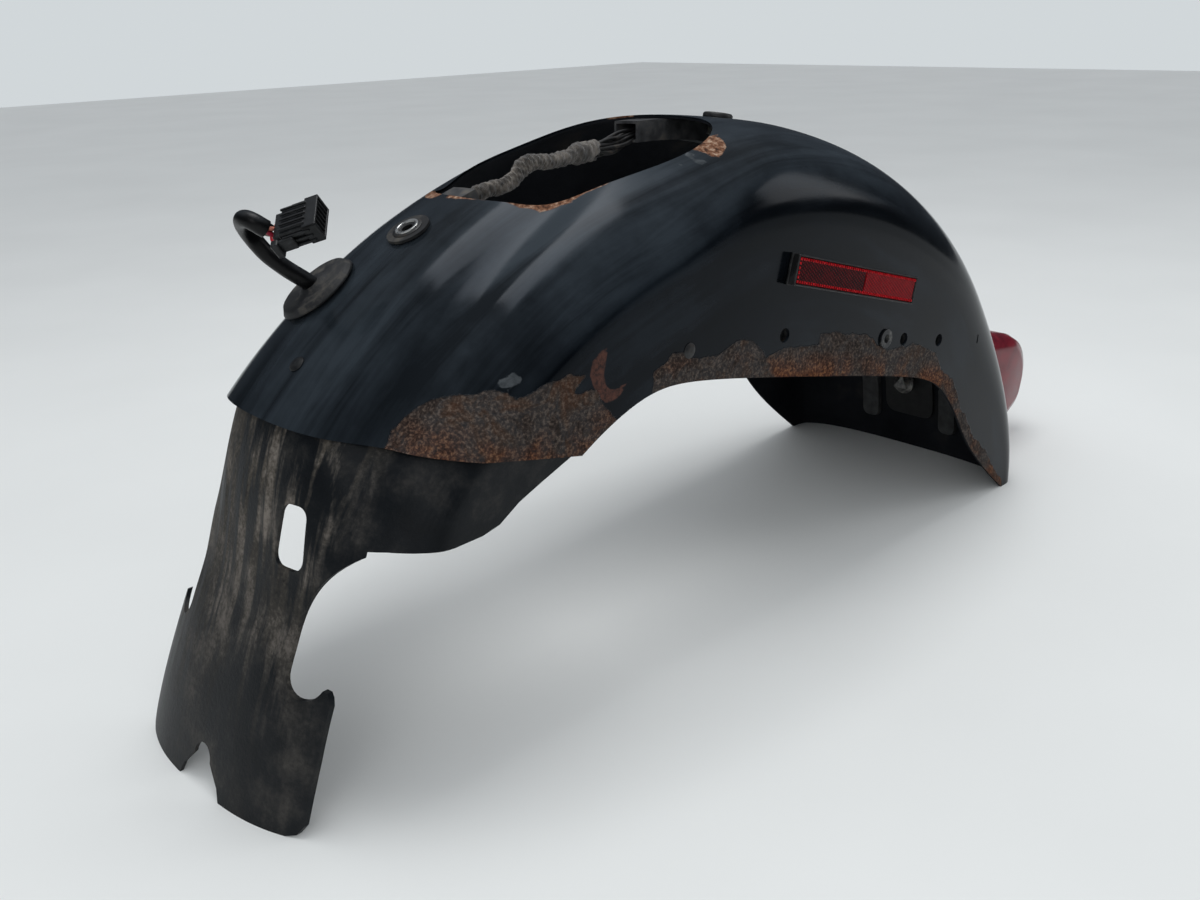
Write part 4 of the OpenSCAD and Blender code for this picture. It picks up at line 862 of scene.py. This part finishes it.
def dressed(node, made, sharp=32):
    """A merged, smoothly shaded copy of a CAD node that stands for it, in its own finish."""
    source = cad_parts[node]
    mesh = source.data.copy()
    mesh.name = node + "_part"
    piece = bpy.data.objects.new(node + "_part", mesh)
    bpy.context.collection.objects.link(piece)
    step = piece.modifiers.new("merge", "WELD")
    step.merge_threshold = 0.00001
    mesh = bpy.data.meshes.new_from_object(piece.evaluated_get(bpy.context.evaluated_depsgraph_get()))
    piece.modifiers.clear()
    piece.data = mesh
    mesh.materials.clear()
    mesh.materials.append(made)
    mesh.polygons.foreach_set("material_index", [0] * len(mesh.polygons))
    mesh.shade_smooth()
    mesh.set_sharp_from_angle(angle=math.radians(sharp))
    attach(piece, "root")
    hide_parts(node)
    return piece


def weathered(name, deep, plain, dusty, metallic, low, high, scale=260.0, relief=0.0003, **even):
    """A finish whose colour and gloss vary with one noise of a given grain."""
    made, tree, shader = finish_of(name, Metallic=metallic, **even)
    place = add(tree, "ShaderNodeTexCoord").outputs["Object"]
    grain = add(tree, "ShaderNodeTexNoise", {"Vector": place, "Scale": scale, "Detail": 7.0, "Roughness": 0.64})
    broad = add(tree, "ShaderNodeTexNoise", {"Vector": place, "Scale": scale / 7, "Detail": 4.0})
    drift = add(tree, "ShaderNodeMath", {0: broad, 1: 0.5}, operation="SUBTRACT")
    both = add(tree, "ShaderNodeMath", {0: drift, 1: 0.7, 2: grain}, operation="MULTIPLY_ADD")
    shade = add(tree, "ShaderNodeValToRGB", {0: both}, ramp=[(0.32, deep), (0.52, plain), (0.74, dusty)])
    tree.links.new(shade.outputs[0], shader.inputs["Base Color"])
    rough = add(tree, "ShaderNodeMapRange", {"Value": both, "From Min": 0.3, "From Max": 0.75, "To Min": low,
                                             "To Max": high})
    tree.links.new(rough.outputs[0], shader.inputs["Roughness"])
    bump = add(tree, "ShaderNodeBump", {"Strength": 0.5, "Distance": relief, "Height": both})
    tree.links.new(bump.outputs[0], shader.inputs["Normal"])
    return made


# Black-painted steel with light rust; zinc-plated steel gone dull and dusty.
black_steel = weathered("painted_mild_steel", "#0a0b0c", "#131415", "#33291f", 0.0, 0.35, 0.75)
zinc = weathered("dull_zinc_plate", "#4c4c4b", "#7d7c79", "#9a948a", 0.85, 0.32, 0.6)
grey_zinc = weathered("oiled_black_steel", "#141516", "#2e3033", "#6b6a66", 0.4, 0.4, 0.7)
for node in ("mudguard_rivet", "side_rivets", "strut_plate_left", "strut_plate_right", "strut_nuts_left",
             "strut_nuts_right", "rear_seat_pad"):
    dressed(node, black_steel)
for node in ("strut_bushing_left", "strut_bushing_right"):
    dressed(node, grey_zinc)
for node in ("rear_seat_nut", "tail_light_bolt", "lens_screws", "bulb_socket"):
    dressed(node, zinc)

# The front seat nut is turned in one go: a broad flange, a bright rim that the seat's screw has
# polished round its bore, and a barrel below.


def turned(profile, matrix, count=64):
    """A closed turned shape. profile gives (radius, height) in mm, anticlockwise from the bore's foot."""
    n = len(profile)
    turns = [2 * math.pi * k / count for k in range(count)]
    points = [matrix @ Vector((r * math.cos(turn) / 1000, r * math.sin(turn) / 1000, h / 1000))
              for turn in turns for r, h in profile]
    faces = [(k * n + i, (k + 1) % count * n + i, (k + 1) % count * n + (i + 1) % n, k * n + (i + 1) % n)
             for k in range(count) for i in range(n)]
    return points, faces, [i for k in range(count) for i in range(n)]


nut_place = skin_frame(129)
heights = [(nut_place.inverted() @ v.co).z * 1000 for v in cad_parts["seat_nut"].data.vertices]
top, foot = max(heights), min(heights)
outline = [(3.2, foot), (5.7, foot), (5.7, top - 1.6), (8.7, top - 1.6), (8.6, top - 1.2), (7.8, top - 0.75),
           (6.9, top - 0.7), (6.8, top - 0.15), (6.6, top), (5.6, top), (5.3, top - 0.2), (5.0, top - 0.9),
           (3.2, top - 1.2)]
points, faces, stations = turned(outline, nut_place)
bright_zinc = weathered("polished_zinc_rim", "#8b8c8b", "#b8b8b6", "#d2d1cd", 0.9, 0.22, 0.4)
seat_nut = new_piece("seat_nut_turned", points, faces, [black_steel, bright_zinc],
                     [1 if 6 <= i <= 10 else 0 for i in stations], sharp=30)
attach(seat_nut, "root")
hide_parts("seat_nut")

# ---- Seat washer, grommet and gasket --------------------------------------------------------
# EPDM rubber mouldings: dull black that has greyed, flecked with dust.

rubber = weathered("greyed_epdm", "#0b0b0c", "#1a1b1d", "#45423c", 0.0, 0.55, 0.8, scale=150.0)
for node in ("seat_washer", "harness_grommet", "tail_light_gasket", "tail_harness"):
    dressed(node, rubber, 40)

# ---- Harness --------------------------------------------------------------------------------
# The rear loom crosses the seat opening between two flat plastic troughs. It is bound in grey
# cloth tape, wound so that each turn laps the last, and its wires are bare where the tape ends.

trough_finish = weathered("dusty_grey_polypropylene", "#1b1b1c", "#37383a", "#55514b", 0.0, 0.5, 0.75, scale=120.0)
for node in ("front_harness_channel", "rear_harness_channel"):
    dressed(node, trough_finish, 30)

# Angle round the wheel, side distance and depth under the skin, in degrees and mm.
harness_route = [(131, 20.3, 9), (128, 16.2, 9), (125, 12.1, 9), (122.3, 8.6, 9), (120.2, 6, 9.5), (118.8, 4, 11.5),
                 (117.4, 3.5, 11), (115.9, 5, 7.5), (114.6, 5.2, 7.5), (113, 5.5, 11), (111, 7, 13), (108.6, 10, 14),
                 (106, 12.5, 15.5), (103.4, 15, 15), (100.5, 16.8, 11.5), (98, 17, 9), (95, 17, 9)]


def under_skin(a, y, depth):
    share = math.copysign((math.degrees(math.asin((abs(y) / 109) ** 1.38)) / 90) ** (1 / 1.38), y)
    return on_bench(np.array(float(a)), np.array(float(skin_radius(a, share)) - depth / 1000), y / 1000)


tape_line = smooth_line([under_skin(*stop) for stop in harness_route], 24)
tape_run = np.concatenate([[0], np.cumsum(np.linalg.norm(np.diff(tape_line, axis=0), axis=1))])
turn_pitch = 0.0058


def run_at(index):
    """Length along the harness at one of the route's places."""
    return tape_run[min(index * 24, len(tape_run) - 1)]


flap_from, flap_to = run_at(11) - 0.005, run_at(12) - 0.001


def tape_shape(t, turn):
    s = t * (flap_to + 0.0015)
    lap = (s / turn_pitch + turn / (2 * math.pi)) % 1
    slack = 0.05 * math.sin(s * 420 + 2 * turn) + 0.04 * math.sin(s * 1130 - 3 * turn) + 0.03 * math.sin(s * 2100 + 5
                                                                                                         * turn)
    swell = 0.22 * math.exp(-((s - run_at(7)) / 0.008) ** 2)
    # The last turns have come loose and stand off as a flap with a ragged end.
    ragged = 0.003 * math.sin(2 * turn + 0.6) + 0.0015 * math.sin(5 * turn)
    flap = 0.42 * float(smooth_step((s - flap_from) / 0.006)) * (1 - float(smooth_step((s - flap_to + 0.002 - ragged)
                                                                                       / 0.0018)))
    return 0.0044 * (0.93 + 0.13 * lap + slack + swell + flap) * (1 if s < flap_to else 0.8)


last = int(np.searchsorted(tape_run, flap_to + 0.0015))
points, faces = tube_along(tape_line[:last], tape_shape, 48)
# Cloth tape: 0.4 mm weave, drawn at 0.8 mm so that it shows, stiff with grey-brown dust.
tape_finish, tree, shader = finish_of("cloth_harness_tape", Roughness=0.92, Sheen_Weight=0.25)
place = add(tree, "ShaderNodeTexCoord").outputs["Object"]
grime = add(tree, "ShaderNodeTexNoise", {"Vector": place, "Scale": 130.0, "Detail": 7.0, "Roughness": 0.68})
shade = add(tree, "ShaderNodeValToRGB", {0: grime}, ramp=[(0.36, "#1a1816"), (0.5, "#3f3a35"), (0.66, "#706961")])
tree.links.new(shade.outputs[0], shader.inputs["Base Color"])
weave = add(tree, "ShaderNodeTexWave", {"Vector": place, "Scale": 390.0, "Distortion": 3.0, "Detail": 2.0})
threads = add(tree, "ShaderNodeMath", {0: weave, 1: grime}, operation="ADD")
bump = add(tree, "ShaderNodeBump", {"Strength": 0.55, "Distance": 0.0005, "Height": threads})
tree.links.new(bump.outputs[0], shader.inputs["Normal"])
loom = new_piece("taped_loom", points, faces, [tape_finish], sharp=70)
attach(loom, "root")
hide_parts("taped_harness")

# Bare wires where the tape has frayed, ahead of the rear trough.
loose_finish = weathered("dirty_pvc_wires", "#0b0b0c", "#19191a", "#4d463e", 0.0, 0.45, 0.75)
points, faces = [], []
first = last - 14
for k in range(11):
    turn, out = 2 * math.pi * k / 11, (0.0034, 0.0026, 0.0040)[k % 3]
    line = []
    for i in range(first, len(tape_line), 6):
        wave = 0.0009 * math.sin(2.1 * k + i * 0.13)
        fan = 1 + 0.25 * math.sin(math.pi * min(1, (i - first) / 60))
        line.append(tape_line[i] + np.array([0.4 * wave, (out + wave) * fan * math.cos(turn + 0.011 * (i - first)),
                                             (out + wave) * fan * math.sin(turn + 0.011 * (i - first))]))
    some, ring_faces = tube_along(smooth_line(line, 2), lambda t, turn: 0.0011, 9)
    faces += [tuple(i + len(points) for i in face) for face in ring_faces]
    points += some
frayed = new_piece("bare_loom_wires", points, faces, [loose_finish], sharp=60)
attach(frayed, "root")

# ---- Side reflectors ------------------------------------------------------------------------
# A red acrylic reflector on each wall in a black tray. Behind its smooth face it is moulded into
# rows of small prisms, two panels of them. The front panel looks darker than the rear one and is
# given a darker red: painted shade on the same acrylic.

tray_finish = weathered("moulded_abs_tray", "#0a0a0b", "#131415", "#2a2a2a", 0.0, 0.3, 0.55, scale=200.0)


def acrylic_of(name, deep, plain):
    """Red acrylic over moulded prisms: a fine cross-hatch shows through its face."""
    made, tree, shader = finish_of(name, Roughness=0.2, IOR=1.49, Specular_IOR_Level=0.04)
    place = add(tree, "ShaderNodeTexCoord").outputs["Object"]
    hatch = []
    for turn in (0.6, -0.6):
        tilted = add(tree, "ShaderNodeMapping", {0: place, "Rotation": (0.0, turn + 0.23, 0.0)}).outputs[0]
        hatch.append(add(tree, "ShaderNodeTexWave", {"Vector": tilted, "Scale": 170.0, "Distortion": 0.0}).outputs[0])
    lines = add(tree, "ShaderNodeMath", {0: hatch[0], 1: hatch[1]}, operation="MULTIPLY").outputs[0]
    speck = add(tree, "ShaderNodeTexNoise", {"Vector": place, "Scale": 300.0, "Detail": 2.0})
    faint = add(tree, "ShaderNodeMath", {0: lines, 1: 0.6}, operation="MULTIPLY")
    both = add(tree, "ShaderNodeMath", {0: speck, 1: 0.5, 2: faint}, operation="MULTIPLY_ADD")
    shade = add(tree, "ShaderNodeValToRGB", {0: both}, ramp=[(0.25, deep), (0.8, plain)])
    tree.links.new(shade.outputs[0], shader.inputs["Base Color"])
    bump = add(tree, "ShaderNodeBump", {"Strength": 0.25, "Distance": 0.0003, "Height": lines})
    tree.links.new(bump.outputs[0], shader.inputs["Normal"])
    return made


# The front panels' red is the same acrylic made darker, as painted shade.
shaded_acrylic = acrylic_of("red_acrylic_painted_shade", "#190204", "#5a0d13")
bright_acrylic = acrylic_of("bright_red_acrylic", "#56070c", "#8f0f18")
dot_acrylic = acrylic_of("red_acrylic_dots", "#8a0f15", "#c4262c")


def prism_rows(name, length, height, spacing, rise):
    """A panel of small four-sided prisms, laid out by Geometry Nodes on a grid."""
    tree = bpy.data.node_groups.new(name, "GeometryNodeTree")
    for label, value in (("Length", length), ("Height", height), ("Spacing", spacing), ("Rise", rise)):
        socket = tree.interface.new_socket(label, in_out="INPUT", socket_type="NodeSocketFloat")
        socket.default_value = value
    tree.interface.new_socket("Finish", in_out="INPUT", socket_type="NodeSocketMaterial")
    tree.interface.new_socket("Geometry", in_out="OUTPUT", socket_type="NodeSocketGeometry")
    inputs = add(tree, "NodeGroupInput").outputs
    grid = add(tree, "GeometryNodeMeshGrid", {"Size X": inputs["Length"], "Size Y": inputs["Height"]})
    for label, way in (("Length", "Vertices X"), ("Height", "Vertices Y")):
        gaps = add(tree, "ShaderNodeMath", {0: inputs[label], 1: inputs["Spacing"]}, operation="DIVIDE")
        count = add(tree, "ShaderNodeMath", {0: gaps, 1: 1.0}, operation="ADD")
        tree.links.new(count.outputs[0], grid.inputs[way])
    half_pitch = add(tree, "ShaderNodeMath", {0: inputs["Spacing"], 1: 0.5}, operation="MULTIPLY").outputs[0]
    stud = add(tree, "GeometryNodeMeshCone", {"Vertices": 4, "Radius Top": 0.0, "Radius Bottom": half_pitch,
                                              "Depth": inputs["Rise"]})
    turned = add(tree, "GeometryNodeTransform", {"Geometry": stud.outputs["Mesh"],
                                                 "Rotation": (0, 0, math.radians(45))})
    placed = add(tree, "GeometryNodeInstanceOnPoints", {"Points": grid.outputs["Mesh"], "Instance": turned})
    real = add(tree, "GeometryNodeRealizeInstances", {0: placed})
    finished = add(tree, "GeometryNodeSetMaterial", {"Geometry": real, "Material": inputs["Finish"]})
    add(tree, "NodeGroupOutput", {0: finished})
    return tree


def made_by(tree, name, **inputs):
    """The plain mesh that a tree makes with these inputs."""
    holder = plain_object(name, [(0, 0, 0)], [])
    step = holder.modifiers.new("make", "NODES")
    step.node_group = tree
    for item in tree.interface.items_tree:
        if item.in_out == "INPUT" and item.name in inputs:
            step[item.identifier] = inputs[item.name]
    mesh = bpy.data.meshes.new_from_object(holder.evaluated_get(bpy.context.evaluated_depsgraph_get()))
    holder.modifiers.clear()
    holder.data = mesh
    return holder


rows_tree = prism_rows("reflector_prisms", 0.06, 0.014, 0.0019, 0.0005)
for side_name, s in (("left", -1), ("right", 1)):
    low_corner, high_corner = (Vector(c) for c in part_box("reflector_housing_" + side_name))
    rim_face = abs(high_corner.y if s > 0 else low_corner.y) - 0.0022
    face = rim_face - 0.0006
    # Its own directions on the left wall: X to the tail, Y up the wall, Z off the wall.
    wall_frame = wheel_frame @ Matrix.Translation((0.016, 0, 0.307)) @ Matrix.Rotation(math.radians(90), 4, "X") \
        @ Matrix.Rotation(math.radians(-2.6), 4, "Z")
    across_wall = Matrix.Scale(-1, 4, (0, 1, 0)) if s > 0 else Matrix.Identity(4)
    points, faces = [], []
    rim_foot, end, lens_end, top, lens_top = face - 0.0046, 0.0683, 0.0670, 0.0093, 0.0081
    for low, high in (((-0.0685, -0.0095, fender_half), (0.0685, 0.0095, face - 0.0042)),
                      ((-end, lens_top, rim_foot), (end, top, rim_face)),
                      ((-end, -top, rim_foot), (end, -lens_top, rim_face)),
                      ((-end, -top, rim_foot), (-lens_end, top, rim_face)),
                      ((lens_end, -top, rim_foot), (end, top, rim_face))):
        block(points, faces, low, high, 0.0006, across_wall @ wall_frame)
    if s > 0:
        faces = [face_loop[::-1] for face_loop in faces]
    tray = new_piece("reflector_tray_" + side_name, points, faces, [tray_finish], sharp=20)
    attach(tray, "root")
    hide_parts("reflector_housing_" + side_name)
    points, faces, turns = [], [], []
    # Front panel in the painted-shade red, rear panel in the plain red.
    for low_x, high_x, turn in ((-0.0667, 0.0058, 0), (0.0062, 0.0667, 1)):
        before = len(faces)
        block(points, faces, (low_x, -0.0079, face - 0.004), (high_x, 0.0079, face), 0.0005, across_wall @ wall_frame)
        turns += [turn] * (len(faces) - before)
    if s > 0:
        faces = [face_loop[::-1] for face_loop in faces]
    lens = new_piece("reflector_lens_" + side_name + "_part", points, faces, [shaded_acrylic, bright_acrylic], turns,
                     sharp=20)
    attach(lens, "root")
    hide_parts("reflector_lens_" + side_name)
    rows = []
    for middle_x, middle_y, length, height in ((0.0366, 0.0068, 0.0585, 0.0001), (0.0366, -0.0068, 0.0585, 0.0001),
                                               (-0.0300, 0.0068, 0.0700, 0.0001), (-0.0300, -0.0068, 0.0700, 0.0001),
                                               (-0.0656, 0.0, 0.0001, 0.0135)):
        row = made_by(rows_tree, "prisms", Length=length, Height=height, Spacing=0.0023, Rise=0.0006,
                      Finish=dot_acrylic)
        row.data.transform(across_wall @ wall_frame @ Matrix.Translation((middle_x, middle_y, face + 0.0002)))
        rows.append(row)
    bpy.ops.object.select_all(action="DESELECT")
    for row in rows:
        row.select_set(True)
    bpy.context.view_layer.objects.active = rows[0]
    bpy.ops.object.join()
    dots = bpy.context.view_layer.objects.active
    dots.name = "reflector_dots_" + side_name
    if s > 0:
        dots.data.flip_normals()
    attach(dots, "root")

# ---- Tail light -----------------------------------------------------------------------------
# A bolted lamp: a black ABS base on a rubber gasket, a chromed bowl and bulb, and a one-piece
# red acrylic lens with rounded edges, held by two screws that sit deep in its face.

lens_finish, tree, shader = finish_of("red_acrylic_lens", IOR=1.49, Transmission_Weight=0.35, Specular_IOR_Level=0.3)
place = add(tree, "ShaderNodeTexCoord").outputs["Object"]
worn = add(tree, "ShaderNodeTexNoise", {"Vector": place, "Scale": 90.0, "Detail": 6.0})
shade = add(tree, "ShaderNodeValToRGB", {0: worn}, ramp=[(0.35, "#641020"), (0.65, "#8a1f2e")])
tree.links.new(shade.outputs[0], shader.inputs["Base Color"])
rough = add(tree, "ShaderNodeMapRange", {"Value": worn, "To Min": 0.08, "To Max": 0.3})
tree.links.new(rough.outputs[0], shader.inputs["Roughness"])
dressed("tail_light_base", tray_finish, 30)
dressed("tail_light_lens", lens_finish, 34)
chrome = weathered("vacuum_chrome", "#b9bbbd", "#d9dadb", "#e6e6e6", 1.0, 0.08, 0.2, relief=0.00005)
dressed("tail_light_bowl", chrome, 30)
glass = weathered("bulb_glass", "#e6e6e2", "#eeeeea", "#f2f2ee", 0.0, 0.04, 0.12, relief=0.00002,
                  Transmission_Weight=0.85, IOR=1.5)
dressed("bulb", glass, 40)
grimed_steel = weathered("grimed_black_steel", "#040405", "#080809", "#141312", 0.0, 0.5, 0.8, scale=120.0)
dressed("tail_light_plate", grimed_steel, 30)
pale_pad = weathered("grey_foam_rubber_pad", "#1c1d1d", "#323334", "#474643", 0.0, 0.6, 0.85, scale=140.0)
dressed("tail_edge_pads", pale_pad, 35)
